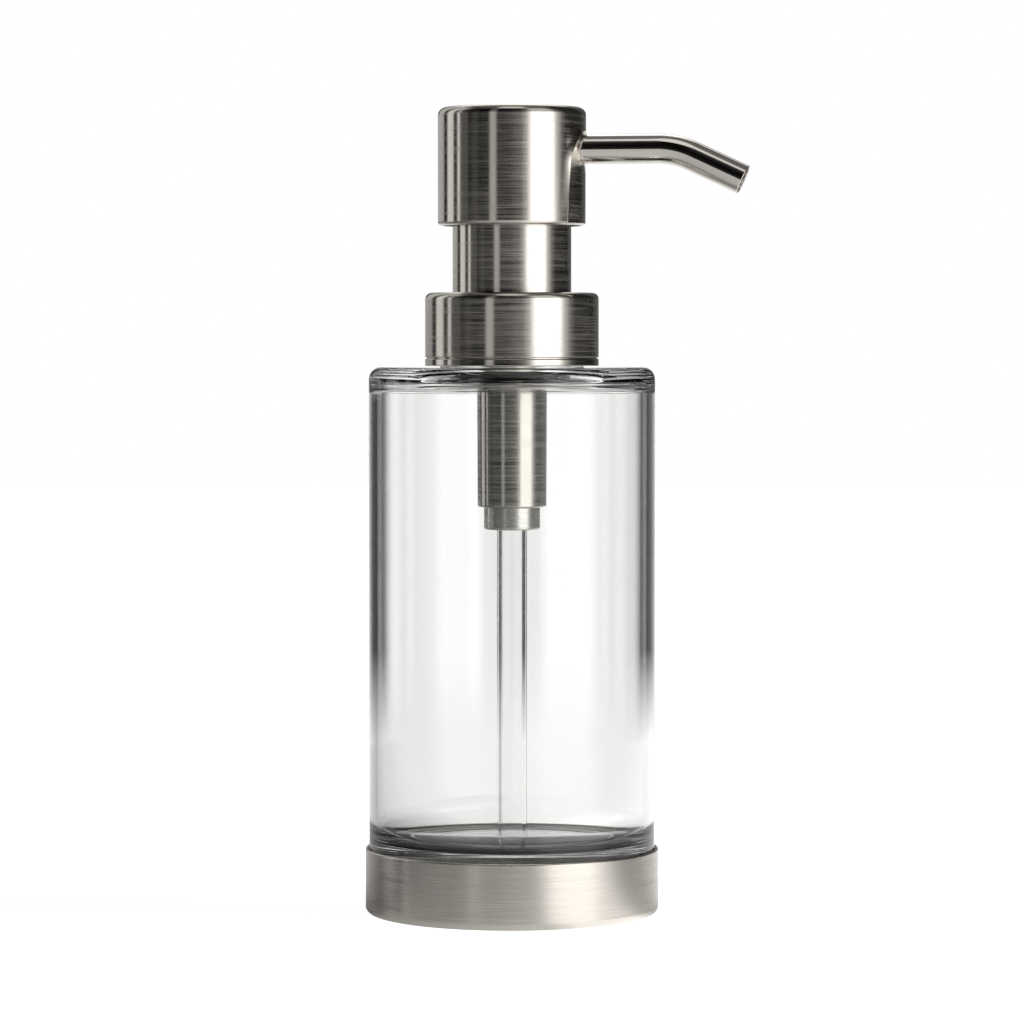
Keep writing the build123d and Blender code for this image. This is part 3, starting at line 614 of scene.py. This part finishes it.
# %% Sleeve
_, sleeve_foot, sleeve_top = span("neck_sleeve")
sleeve_wall, brim_radius = 0.6, 17.3
sleeve_mouth = sleeve_radius - 1.8
sleeve_tube = turned("sleeve_tube", section(
    (sleeve_radius - sleeve_wall, sleeve_foot, 0.1),
    (brim_radius, sleeve_foot, 0.1),
    (brim_radius, sleeve_foot + sleeve_wall, 0.1),
    (sleeve_radius, sleeve_foot + sleeve_wall, 0.2),
    (sleeve_radius, sleeve_top, 0.5),
    (sleeve_mouth, sleeve_top, 0.1),
    (sleeve_mouth, sleeve_top - sleeve_wall, 0.1),
    (sleeve_radius - sleeve_wall, sleeve_top - sleeve_wall, 0.1)))
settle(sleeve_tube, "pump", brushed_steel, "brushed_steel", "neck_sleeve")

# %% [markdown]
# ## The head
#
# The cap is a deep cup with an arched opening cut up its front, where the spout comes through. The cut's
# edge is raised a little: most beside the spout, and dying away to nothing at the lip. A boolean would leave
# a sharp, uneven edge, so the wall is laid out as a grid of rays that fan out from the arch to the back and
# the top. Each point's depth below the surface then depends on its distance from the arch and its height.

# %% Head sizes and the arch
head_radius, lip, crown = span("head_shell")
wall, roof = 1.2, 1.0
crown_round, inside_round, lip_round = 2.0, 0.9, 0.8
spout_axis = crown - 10.4
arch_foot = 10.0
crown_radius = 9.05
arch_over_spout = 4.4
crown_centre = spout_axis + arch_over_spout - crown_radius


def arch_lean(margin):
    """The angle at which the arch's straight sides run into its round crown."""
    foot, below = arch_foot - margin, crown_centre - lip
    return acos((crown_radius - margin) / hypot(foot, below)) - atan2(below, foot)


def arch_distance(y, z, margin=0.0):
    """How far a point of the front view lies outside the arch, in millimetres."""
    lean, up = arch_lean(margin), z - crown_centre
    if atan2(up, abs(y)) > lean:
        return hypot(y, up) - crown_radius + margin
    return cos(lean) * abs(y) + sin(lean) * up - crown_radius + margin


def quarter(distance, radius, depth=None):
    """How deep a rounded edge lies below the surface at a distance from it."""
    if distance >= radius:
        return 0.0
    inwards = 1.0 - max(distance, 0.0) / radius
    return (radius if depth is None else depth) * (1.0 - sqrt(1.0 - inwards * inwards))


def ease(value, start, end):
    """0 before start, 1 after end and a smooth rise between them."""
    t = min(max((value - start) / (end - start), 0.0), 1.0)
    return t * t * (3 - 2 * t)


def flare(z):
    """How far the cut's edge is raised: nothing at the lip, most beside the spout and little over it."""
    low_rise = 0.20 * ease(z, lip, lip + 6.0)
    high_rise = 0.30 * ease(z, lip + 5.0, spout_axis - 1.0)
    fall = 0.46 * ease(z, spout_axis, spout_axis + 4.0)
    return low_rise + high_rise - fall


print(f"head {2 * head_radius:.1f} wide, crown of the arch at {crown_centre + crown_radius:.1f}")

# %% Lay out the head's wall
rim_steps = (0.0, 0.02, 0.06, 0.12, 0.2, 0.3, 0.45, 0.65, 0.9, 1.2, 1.5, 1.8, 2.2, 2.6, 3.1, 3.7)
heights = (0.0, 0.02, 0.07, 0.15, 0.26, 0.4, 0.57, 0.8, 1.05, 1.5)
AROUND, AWAY = 240, 44
SIDE_STEPS = 16
CUT_ROUND, FLARE_REACH = 0.15, 2.1
LEAST_WALL = 0.02
wall_top = crown - crown_round
straight_top = len(heights) + SIDE_STEPS - 1


def arch_points(margin=0.0, sides=SIDE_STEPS, round_steps=AROUND):
    """Points (y, height) up the arch's left side, over its crown and down its right side."""
    lean, radius = arch_lean(margin), crown_radius - margin
    foot = arch_foot - margin
    side_top = (radius * cos(lean), crown_centre + radius * sin(lean))
    rise = [lip + h for h in heights]
    rise += [rise[-1] + (side_top[1] - rise[-1]) * k / sides for k in range(1, sides)]
    side = [(side_top[0] + (foot - side_top[0]) * (side_top[1] - z) / (side_top[1] - lip), z) for z in rise]
    sweep = pi - 2 * lean
    turns = [lean + sweep * k / round_steps for k in range(round_steps + 1)]
    crown_arc = [(-radius * cos(turn), crown_centre + radius * sin(turn)) for turn in turns]
    return [(-y, z) for y, z in side] + crown_arc + side[::-1]


def arch_rays():
    """Rays of the wall: from the arch to the seam behind, or to the ring under the crown."""
    starts = arch_points()
    top, lip_top = starts[straight_top][1], lip + heights[-1]
    stretch = (wall_top - lip_top) / (top - lip_top)
    rays = []
    for k, (y, z) in enumerate(starts):
        if straight_top <= k <= straight_top + AROUND:
            rays.append(((y, z), (-pi + 2 * pi * (k - straight_top) / AROUND, wall_top)))
            continue
        back = z if z <= lip_top else lip_top + (z - lip_top) * stretch
        rays.append(((y, z), (-pi if y < 0 else pi, back)))
    return rays


def wall_points(ray):
    """The (angle, height) points along one ray, close together near the arch."""
    (y, z), (end_angle, end_z) = ray
    angle = asin(y / head_radius)
    run = hypot((end_angle - angle) * head_radius, end_z - z)
    shares = [step / run for step in rim_steps]
    shares += [shares[-1] + (1 - shares[-1]) * k / AWAY for k in range(1, AWAY + 1)]
    return [(angle + (end_angle - angle) * t, z + (end_z - z) * t) for t in shares]


def outer_depth(angle, z):
    """How far the cap's outer face lies below its full radius."""
    depth = quarter(z - lip, lip_round)
    if abs(angle) < pi / 2:
        away = max(arch_distance(head_radius * sin(angle), z), 0.0)
        depth += quarter(away, CUT_ROUND) - flare(z) * max(1.0 - away / FLARE_REACH, 0.0) ** 2
    return min(depth, wall - LEAST_WALL)


rays = [wall_points(ray) for ray in arch_rays()]
print(len(rays), "rays of", len(rays[0]), "points")


# %% Build the head cap
def round_point(bm, radius, angle, z):
    return bm.verts.new((radius * cos(angle) * MM, radius * sin(angle) * MM, z * MM))


def head_cap_mesh():
    """Both faces of the wall, the cut edges between them, and the crown."""
    bm = bmesh.new()
    outer = [[round_point(bm, head_radius - outer_depth(a, z), a, z) for a, z in ray] for ray in rays]
    inner = [[round_point(bm, head_radius - wall, a, z) for a, z in ray] for ray in rays]
    for sheet in (outer, inner):
        for one, two in zip(sheet, sheet[1:]):
            for k in range(len(one) - 1):
                bm.faces.new((one[k], one[k + 1], two[k + 1], two[k]))
    for one, two, three, four in zip(outer, outer[1:], inner, inner[1:]):
        bm.faces.new((one[0], two[0], four[0], three[0]))
    for edge in (0, -1):
        for k in range(len(outer[0]) - 1):
            bm.faces.new((outer[edge][k], outer[edge][k + 1], inner[edge][k + 1], inner[edge][k]))
    over = section((head_radius, wall_top), (head_radius, crown, crown_round), (0, crown))[1:]
    inside, ceiling = head_radius - wall, crown - roof
    under = section((inside, wall_top), (inside, ceiling, inside_round), (0, ceiling))[1:]
    for sheet, profile in ((outer, over), (inner, under)):
        edge = [sheet[straight_top + k][-1] for k in range(AROUND)]
        for r, z in profile:
            ring = ([bm.verts.new((0, 0, z * MM))] * AROUND if r < ON_AXIS else
                    [round_point(bm, r, -pi + 2 * pi * k / AROUND, z) for k in range(AROUND)])
            for k in range(AROUND):
                j = (k + 1) % AROUND
                corners = [edge[k], edge[j], ring[j], ring[k]]
                corners = [c for n, c in enumerate(corners) if c not in corners[:n]]
                bm.faces.new(corners)
            edge = ring
    bmesh.ops.remove_doubles(bm, verts=bm.verts, dist=1e-7)
    return bm


head_cap = made("head_cap", head_cap_mesh())
settle(head_cap, "head", brushed_steel, "brushed_steel", "head_shell", crease=40)

# %% [markdown]
# ### The saddle round the spout
#
# A curved plate fills the arch, just below the cap's surface, and it is dished round the hole that the spout
# passes through. It is laid out the same way, as rays from its own edge to the hole.

# %% Saddle
saddle_gap, hole_radius = 0.15, 4.05
saddle_sunk = 0.1
dish_depth, dish_width, hole_round = 0.22, 2.6, 0.12
LIP_STEPS, RAY_STEPS, RAY_POINTS = 48, 20, 28
edge_steps = (0, 0.02, 0.06, 0.12, 0.2, 0.3, 0.42, 0.56)
hole_steps = (0.5, 0.3, 0.2, 0.12, 0.05, 0.0)


def saddle_edge():
    """Points (y, height) round the saddle's edge: along the lip, up one side, over and down the other."""
    over = arch_points(saddle_gap, 20, 72)
    foot = over[-1][0]
    return over[:-1] + [(foot - 2 * foot * k / LIP_STEPS, lip) for k in range(LIP_STEPS)]


def saddle_depth(y, z):
    """How far the saddle's face lies below the head's full radius."""
    away = hypot(y, z - spout_axis) - hole_radius
    dish = dish_depth * (1 - ease(away, 0.0, dish_width)) + quarter(away, hole_round)
    edge_round = 0.08 + 0.12 * ease(z, lip + 2.0, spout_axis - 4.0)
    edge = quarter(-arch_distance(y, z, saddle_gap), edge_round)
    return min(saddle_sunk + dish + edge + quarter(z - lip, lip_round), wall - LEAST_WALL)


def saddle_mesh():
    """A plate with both faces, its outer edge and the wall of its hole."""
    bm = bmesh.new()
    outer, inner = [], []
    for y, z in saddle_edge():
        aim = atan2(z - spout_axis, y)
        start = Vector((y, z))
        end = Vector((hole_radius * cos(aim), spout_axis + hole_radius * sin(aim)))
        run = (end - start).length
        shares = [min(step, 0.25 * run) / run for step in edge_steps]
        shares = sorted(set(shares) | {0.25 + 0.6 * k / RAY_STEPS for k in range(1, RAY_STEPS + 1)})
        while len(shares) < RAY_POINTS:
            shares.insert(1, (shares[0] + shares[1]) / 2)
        shares += [1 - min(step, 0.14 * run) / run for step in hole_steps]
        line = [start.lerp(end, t) for t in shares]
        outer.append([round_point(bm, head_radius - saddle_depth(*p), asin(p.x / head_radius), p.y)
                      for p in line])
        inner.append([round_point(bm, head_radius - wall, asin(p.x / head_radius), p.y) for p in line])
    count = len(outer)
    for i in range(count):
        j = (i + 1) % count
        for sheet in (outer, inner):
            for k in range(len(sheet[0]) - 1):
                bm.faces.new((sheet[i][k], sheet[i][k + 1], sheet[j][k + 1], sheet[j][k]))
        for k in (0, -1):
            bm.faces.new((outer[i][k], outer[j][k], inner[j][k], inner[i][k]))
    return bm


spout_plate = made("spout_plate", saddle_mesh())
settle(spout_plate, "head", saddle_steel, "brushed_steel", "spout_saddle", crease=40)

# %% [markdown]
# ### The spout
#
# A thin tube with one easy bend. Rings of points are carried along its centreline, outside and inside, and
# closed with a slightly rounded rim at the tip.

# %% Spout
spout_radius, spout_bore, spout_rim = 3.7, 3.25, 0.14
drop, bend = radians(25), 20.0
spout_root, last_run = 5.0, 18.4
corner = Vector((41.0, 0, spout_axis))
ROOT_STEPS, BEND_STEPS, TIP_STEPS = 24, 32, 12
ahead, down = Vector((1, 0, 0)), Vector((cos(drop), 0, -sin(drop)))
cut_back = bend * tan(drop / 2)


def centreline():
    """Points and directions along the spout, from its root to its tip."""
    stops = []
    bend_start = corner.x - cut_back
    for k in range(ROOT_STEPS):
        x = spout_root + (bend_start - spout_root) * k / ROOT_STEPS
        stops.append((Vector((x, 0, spout_axis)), ahead))
    for k in range(BEND_STEPS + 1):
        turn = drop * k / BEND_STEPS
        spot = Vector((bend_start + bend * sin(turn), 0, spout_axis - bend * (1 - cos(turn))))
        stops.append((spot, Vector((cos(turn), 0, -sin(turn)))))
    first, last = stops[-1][0], corner + down * last_run
    for k in range(1, TIP_STEPS + 1):
        stops.append((first.lerp(last, k / TIP_STEPS), down))
    return stops


def spout_mesh(around=96):
    """The tube's outside from root to tip, its rounded rim, and its bore back to the root."""
    bm = bmesh.new()
    stops = centreline()
    passes = [(spot, way, spout_radius) for spot, way in stops[:-1]]
    spot, way = stops[-1]
    passes.append((spot - way * spout_rim * 1.5, way, spout_radius))
    rim = []
    for t in (0, 22.5, 45, 67.5, 90):
        back, inwards = (spout_rim * (1 - trig(radians(t))) for trig in (sin, cos))
        rim.append((back, inwards))
    passes += [(spot - way * back, way, spout_radius - inwards) for back, inwards in rim]
    passes += [(spot - way * back, way, spout_bore + inwards) for back, inwards in reversed(rim)]
    passes += [(spot, way, spout_bore) for spot, way in reversed(stops[:-1])]
    rings = []
    for spot, way, radius in passes:
        side, up = Vector((0, 1, 0)), Vector((-way.z, 0, way.x))
        rings.append([bm.verts.new((spot + (side * cos(a) + up * sin(a)) * radius) * MM)
                      for a in [2 * pi * k / around for k in range(around)]])
    inside = len(stops) + 2 * len(rim) + 1
    for i, (one, two) in enumerate(zip(rings, rings[1:] + rings[:1])):
        for k in range(around):
            j = (k + 1) % around
            face = bm.faces.new((one[k], one[j], two[j], two[k]))
            face.material_index = 1 if i >= inside else 0
    return bm


spout_tube = made("spout_tube", spout_mesh())
inside_faces = [p.index for p in spout_tube.data.polygons if p.material_index == 1]
settle(spout_tube, "head", spout_steel, "satin_steel", "spout")
# The bore's faces get the steel with painted shade.
spout_tube.data.materials.append(bore_painted_shade)
for i in inside_faces:
    spout_tube.data.polygons[i].material_index = 1

# %% [markdown]
# ## The pump inside the bottle
#
# Through the glass show the steel pump cylinder, the lighter foot valve under it and the clear dip tube. The
# spring, piston, stem, balls and cage are inside the cylinder and come out only in a section, so those keep
# their CAD shapes, except the spring, which is drawn anew as a coil. The real spring shortens when the head
# goes down.

# %% Cylinder
_, cylinder_bottom, flange_top = span("pump_cylinder")
cylinder_radius, cylinder_bore = 8.75, 7.75
tapered_foot, socket_radius, cylinder_floor = 8.55, 6.15, 1.5
flange_radius, flange_thickness = 17.55, 1.3
cylinder_tube = turned("cylinder_tube", section(
    (socket_radius, cylinder_bottom, 0.1),
    (tapered_foot, cylinder_bottom, 0.45),
    (cylinder_radius, flange_top - flange_thickness, 0.3),
    (flange_radius, flange_top - flange_thickness, 0.2),
    (flange_radius, flange_top, 0.1),
    (cylinder_bore, flange_top, 0.1),
    (cylinder_bore, cylinder_bottom + cylinder_floor, 0.2),
    (socket_radius, cylinder_bottom + cylinder_floor, 0.1)))
settle(cylinder_tube, "pump", cylinder_steel, "brushed_steel", "pump_cylinder")

# %% Foot valve
_, valve_bottom, valve_top = span("foot_valve")
valve_radius, plug_radius, tube_hole, seat_radius, passage = 6.95, 6.08, 3.75, 3.3, 2.0
tube_depth = 4.0
valve_shoulder = cylinder_bottom - 0.02
valve_body = turned("valve_body", section(
    (tube_hole, valve_bottom, 0.25),
    (valve_radius, valve_bottom, 0.5),
    (valve_radius, valve_shoulder, 0.15),
    (plug_radius, valve_shoulder, 0.05),
    (plug_radius, valve_top, 0.1),
    (seat_radius, valve_top),
    (seat_radius, valve_top - 0.25),
    (passage, valve_top - 1.55),
    (passage, valve_bottom + tube_depth),
    (tube_hole, valve_bottom + tube_depth)), segments=192)
settle(valve_body, "pump", valve_steel, "satin_steel", "foot_valve")

# %% Dip tube
_, straw_bottom, straw_top = span("dip_tube")
straw_bore, straw_radius = 2.9, 3.73
straw = turned("straw", section(
    (straw_bore, straw_bottom, 0.2),
    (straw_radius, straw_bottom, 0.2),
    (straw_radius, straw_top, 0.1),
    (straw_bore, straw_top, 0.1)), segments=128)
settle(straw, "pump", clear_plastic, "clear_plastic", "dip_tube")

# %% Spring
_, spring_bottom, spring_top = span("return_spring")
COIL_STEPS = 60
END_SHARE = 0.35


def spring_mesh(mean=6.3, wire=0.45, turns=8.5, sides=14):
    """A coil whose turns lie closer together towards its ends."""
    bm = bmesh.new()
    base, rise = spring_bottom + wire, spring_top - spring_bottom - 2 * wire
    steps = int(turns * COIL_STEPS)
    rings = []
    for k in range(steps + 1):
        t = k / steps
        angle = 2 * pi * turns * t
        lift = ease(t, 0.0, 1.0) * END_SHARE + t * (1.0 - END_SHARE)
        centre = Vector((mean * cos(angle), mean * sin(angle), base + rise * lift))
        out = Vector((cos(angle), sin(angle), 0))
        rings.append([bm.verts.new((centre + (out * cos(a) + Vector((0, 0, sin(a)))) * wire) * MM)
                      for a in [2 * pi * j / sides for j in range(sides)]])
    bar(bm, rings)
    return bm


coil = made("coil", spring_mesh())
settle(coil, "pump", bright_steel, "bright_steel", "return_spring")
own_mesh(coil)

# %% [markdown]
# ## Finishes for the pieces that keep their CAD shape

# %% Dress the carried-over pieces
finishes = {
    white_plastic: ("stem_guide", "ball_cage", "piston", "stem_foot", "stem"),
    black_plastic: ("base_core", "closure_insert", "actuator_core"),
    silicone: ("foot_pad", "stem_seal", "spout_seal"),
    foam: ("gasket",),
    bright_steel: ("suction_ball", "discharge_ball"),
}
for material, names in finishes.items():
    for name in names:
        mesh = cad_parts[name].data
        mesh.materials.clear()
        mesh.materials.append(material)
        mesh.shade_smooth()
        mesh.set_sharp_from_angle(angle=radians(30))
    print(material.name, "on", ", ".join(names))

# %% [markdown]
# ## Stage, light and camera
#
# A product table: a pale floor, a large soft light to the right, a dark room in front and a white wall
# behind. Steel and glass are mostly pictures of what is round them, so the room is drawn as soft upright
# strips of light and dark. Their places are given as angles round the dispenser, seen from the camera.

# %% Floor
# The floor is lit as evenly as the wall behind it, so the camera sees both as one white sweep. Only the piece
# of table near the dispenser, which is the next cell, takes part in reflections.
CAMERA_TURN = radians(10)
FLOOR_SIZE = 6.0
bpy.ops.mesh.primitive_grid_add(x_subdivisions=8, y_subdivisions=8, size=FLOOR_SIZE)
floor = bpy.context.object
floor.name = "floor"
paper, tree, sheet = new_material("paper")
fibres = put(tree, "ShaderNodeTexNoise", Scale=300.0, Detail=3.0)
tint = put(tree, "ShaderNodeMixRGB", Fac=fibres.outputs[0], Color1=(0.93, 0.93, 0.93, 1),
           Color2=(0.97, 0.97, 0.97, 1))
tree.links.new(tint.outputs[0], sheet.inputs["Base Color"])
sheet.inputs["Roughness"].default_value = 0.9
sheet.inputs["Emission Color"].default_value = (1, 1, 1, 1)
sheet.inputs["Emission Strength"].default_value = 0.8
floor.data.materials.append(paper)
for kind in ("glossy", "transmission", "diffuse"):
    setattr(floor, "visible_" + kind, False)
floor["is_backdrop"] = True

# %% Table top near the dispenser
# Steel and glass mirror the table they stand on. Its light is painted: the table glows, brighter to the right
# as if lit from that side, so its brightness changes with the direction from the dispenser: the pairs give an
# angle, positive to the camera's right, and a brightness.
TABLE_RADIUS, TABLE_LIFT = 0.45, 0.1 * MM
TABLE_BRIGHTEST = 1.6
table_light = (
    (-171, 0.95), (-155, 0.60), (-135, 0.42), (-118, 0.25), (-100, 0.15), (-80, 0.18), (-60, 0.40),
    (-35, 0.50), (0, 0.72), (14, 0.82), (28, 1.45), (60, 1.60), (72, 1.00), (82, 0.62), (98, 0.60),
    (120, 0.85), (140, 0.95), (160, 1.20), (171, 1.00),
)


LAMP_TINT = (1.0, 0.995, 0.985)


def bearing_ramp(tree, x, y, lights, brightest):
    """A colour ramp over the direction round the axis, measured from the camera's side."""
    bearing = maths(tree, "ARCTAN2", x, maths(tree, "MULTIPLY", y, -1.0))
    turn = maths(tree, "ADD", maths(tree, "DIVIDE", bearing, 2 * pi), 0.5)
    ramp = tree.nodes.new("ShaderNodeValToRGB")
    stops = ramp.color_ramp.elements
    stops.remove(stops[-1])
    for k, (angle, light) in enumerate(lights):
        stop = stops[0] if k == 0 else stops.new(angle / 360 + 0.5)
        stop.position = angle / 360 + 0.5
        stop.color = (*[light / brightest * part for part in LAMP_TINT], 1)
    tree.links.new(turn, ramp.inputs["Fac"])
    return ramp.outputs[0]


bpy.ops.mesh.primitive_circle_add(vertices=96, radius=TABLE_RADIUS, fill_type="NGON",
                                  location=(0, 0, TABLE_LIFT), rotation=(0, 0, CAMERA_TURN))
table = bpy.context.object
table.name = "table"
# The table's glow is painted light, brighter on the right as if a lamp stood there.
table_painted_glow, tree, shader = new_material("table_painted_glow")
tree.nodes.clear()
spot = tree.nodes.new("ShaderNodeTexCoord")
xyz = put(tree, "ShaderNodeSeparateXYZ", Vector=spot.outputs["Object"])
colour = bearing_ramp(tree, xyz.outputs["X"], xyz.outputs["Y"], table_light, TABLE_BRIGHTEST)
glow = put(tree, "ShaderNodeEmission", Color=colour, Strength=TABLE_BRIGHTEST)
tree.links.new(glow.outputs[0], tree.nodes.new("ShaderNodeOutputMaterial").inputs["Surface"])
table.data.materials.append(table_painted_glow)
table.visible_camera = False
table.visible_shadow = False
table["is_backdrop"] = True

# %% The room as strips of light
# Each pair is an angle in degrees, positive to the camera's right, and how bright the room is there. The wall
# behind is white, a large soft box stands on the right, and narrow lights and their stands are on the left.
room = (
    (-171, 1.00), (-166, 0.10), (-162, 0.58), (-134, 0.58), (-130, 0.03), (-121, 0.03), (-119, 0.95),
    (-105, 0.95), (-102, 0.05), (-95, 0.05), (-93, 1.00), (-90, 1.00), (-87, 0.13), (-73, 0.11),
    (-71, 0.01), (-59, 0.07), (-52, 0.01), (-36, 0.01), (-33.5, 0.60), (-26, 0.60), (-23, 0.01),
    (-4, 0.015), (14, 0.16), (23, 0.60), (33, 2.60), (64, 2.60), (73, 0.85), (83, 0.22), (92, 0.03),
    (132, 0.015), (166, 0.18), (170, 1.00),
)
BRIGHTEST = 2.6
world = bpy.data.worlds.new("studio")
scene.world = world
world.use_nodes = True
tree = world.node_tree
tree.nodes.clear()
spot = tree.nodes.new("ShaderNodeTexCoord")
aim = tree.nodes.new("ShaderNodeMapping")
aim.inputs["Rotation"].default_value = (0, 0, -CAMERA_TURN)
tree.links.new(spot.outputs["Generated"], aim.inputs["Vector"])
xyz = put(tree, "ShaderNodeSeparateXYZ", Vector=aim.outputs[0])
strips = bearing_ramp(tree, xyz.outputs["X"], xyz.outputs["Y"], room, BRIGHTEST)
print(len(room), "strips in the room")

# %% Parts of the room that are darker
# The strips don't run evenly from the table to the ceiling. The wall behind is darker from about 4 degrees
# up, and the lights in front from about 10, so that flat tops look grey. A stand behind on the left is dark
# just below the horizon, and near the zenith all the strips end. Heights are sines of elevations.
LEFT_STAND = radians(-148)
WALL_DIM, FRONT_DIM, STAND_DIM = 0.8, 0.7, 0.9
STRIPS_AT_TOP = 0.12


def towards(tree, aim, x, y, z):
    """How nearly a direction points the given way: 1 straight at it, less to the sides."""
    node = put(tree, "ShaderNodeVectorMath", Vector=aim)
    node.operation = "DOT_PRODUCT"
    node.inputs[1].default_value = (x, y, z)
    return node.outputs["Value"]


ahead_y, height = xyz.outputs["Y"], xyz.outputs["Z"]
way = aim.outputs[0]
upright = ramped(tree, height, 0.75, 0.83, BRIGHTEST, STRIPS_AT_TOP)
front_shade = maths(tree, "MULTIPLY", ramped(tree, ahead_y, -0.1, 0.1, FRONT_DIM, 0.0),
                    ramped(tree, height, 0.15, 0.22))
wall_shade = maths(tree, "MULTIPLY", ramped(tree, ahead_y, 0.88, 0.94, 0.0, WALL_DIM),
                   ramped(tree, height, 0.065, 0.085))
stand_way = towards(tree, way, sin(LEFT_STAND), -cos(LEFT_STAND), 0.0)
stand_shade = maths(tree, "MULTIPLY", ramped(tree, stand_way, 0.955, 0.97, 0.0, STAND_DIM),
                    ramped(tree, height, -0.015, -0.004, 1.0, 0.0))
light_left = maths(tree, "SUBTRACT", maths(tree, "SUBTRACT", 1.0, wall_shade), stand_shade)
light_left = maths(tree, "SUBTRACT", light_left, front_shade)
upper = put(tree, "ShaderNodeBackground", Color=strips, Strength=maths(tree, "MULTIPLY", upright, light_left))
print("masks: wall, front lights, left stand")

# %% The table carried on
# Well below the horizon the room turns into the table's own light, so that no edge of the table shows in the
# glass or the steel.
beyond = put(tree, "ShaderNodeBackground", Strength=TABLE_BRIGHTEST,
             Color=bearing_ramp(tree, xyz.outputs["X"], xyz.outputs["Y"], table_light, TABLE_BRIGHTEST))
walls = put(tree, "ShaderNodeMixShader", _0=ramped(tree, height, -0.096, -0.074, 1.0, 0.0),
            _1=upper.outputs[0], _2=beyond.outputs[0])

# %% Lamps above, and white for the camera
# A round soft light hangs a little in front of the dispenser and another behind it, which draws the light
# line along each rounded rim. Straight above them the ceiling is a dim grey. What the camera sees directly is
# plain white.
FRONT_LAMP, RIM_LAMP = radians(70), radians(46)
LAMP_COLOUR = (1.0, 0.98, 0.955, 1)
ZENITH_GREY = 0.16
front_lamp = ramped(tree, towards(tree, way, 0.0, -cos(FRONT_LAMP), sin(FRONT_LAMP)), 0.958, 0.972, 0.0, 0.9)
rim_lamp = ramped(tree, towards(tree, way, 0.0, cos(RIM_LAMP), sin(RIM_LAMP)), 0.935, 0.96, 0.0, 1.0)
zenith = ramped(tree, height, 0.80, 0.90, 0.0, ZENITH_GREY)
lamps = put(tree, "ShaderNodeBackground", Color=LAMP_COLOUR,
            Strength=maths(tree, "MAXIMUM", maths(tree, "ADD", front_lamp, rim_lamp), zenith))
room_light = put(tree, "ShaderNodeAddShader", _0=walls.outputs[0], _1=lamps.outputs[0])
white = put(tree, "ShaderNodeBackground", Color=(1, 1, 1, 1), Strength=1.0)
path = tree.nodes.new("ShaderNodeLightPath")
pick = put(tree, "ShaderNodeMixShader", _0=path.outputs["Is Camera Ray"], _1=room_light.outputs[0],
           _2=white.outputs[0])
tree.links.new(pick.outputs[0], tree.nodes.new("ShaderNodeOutputWorld").inputs["Surface"])
print("lamps at", [round(v * 180 / pi) for v in (FRONT_LAMP, RIM_LAMP)], "degrees up")

# %% Camera
AWAY_FROM_AXIS, CAMERA_HEIGHT, CAMERA_DIP = 1.0472, 0.1432, radians(2.363)
LENS_LENGTH, SENSOR_WIDTH = 148.2, 36
lens = bpy.data.cameras.new("camera")
lens.lens = LENS_LENGTH
lens.sensor_width = SENSOR_WIDTH
lens.clip_start, lens.clip_end = 0.05, 20
camera = bpy.data.objects.new("camera", lens)
scene.collection.objects.link(camera)
camera.location = (AWAY_FROM_AXIS * sin(CAMERA_TURN), -AWAY_FROM_AXIS * cos(CAMERA_TURN), CAMERA_HEIGHT)
camera.rotation_euler = (radians(90) - CAMERA_DIP, 0, CAMERA_TURN)
scene.camera = camera
scene.view_settings.view_transform = "Standard"
scene.cycles.max_bounces = 20
scene.cycles.glossy_bounces = 10
scene.cycles.transmission_bounces = 16
print("camera", [round(v, 3) for v in camera.location])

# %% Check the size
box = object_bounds()
grown = [[round((b - a) / MM, 2) for a, b in zip(one, two)] for one, two in zip(cad_box, box)]
print("grown by (mm):", grown)
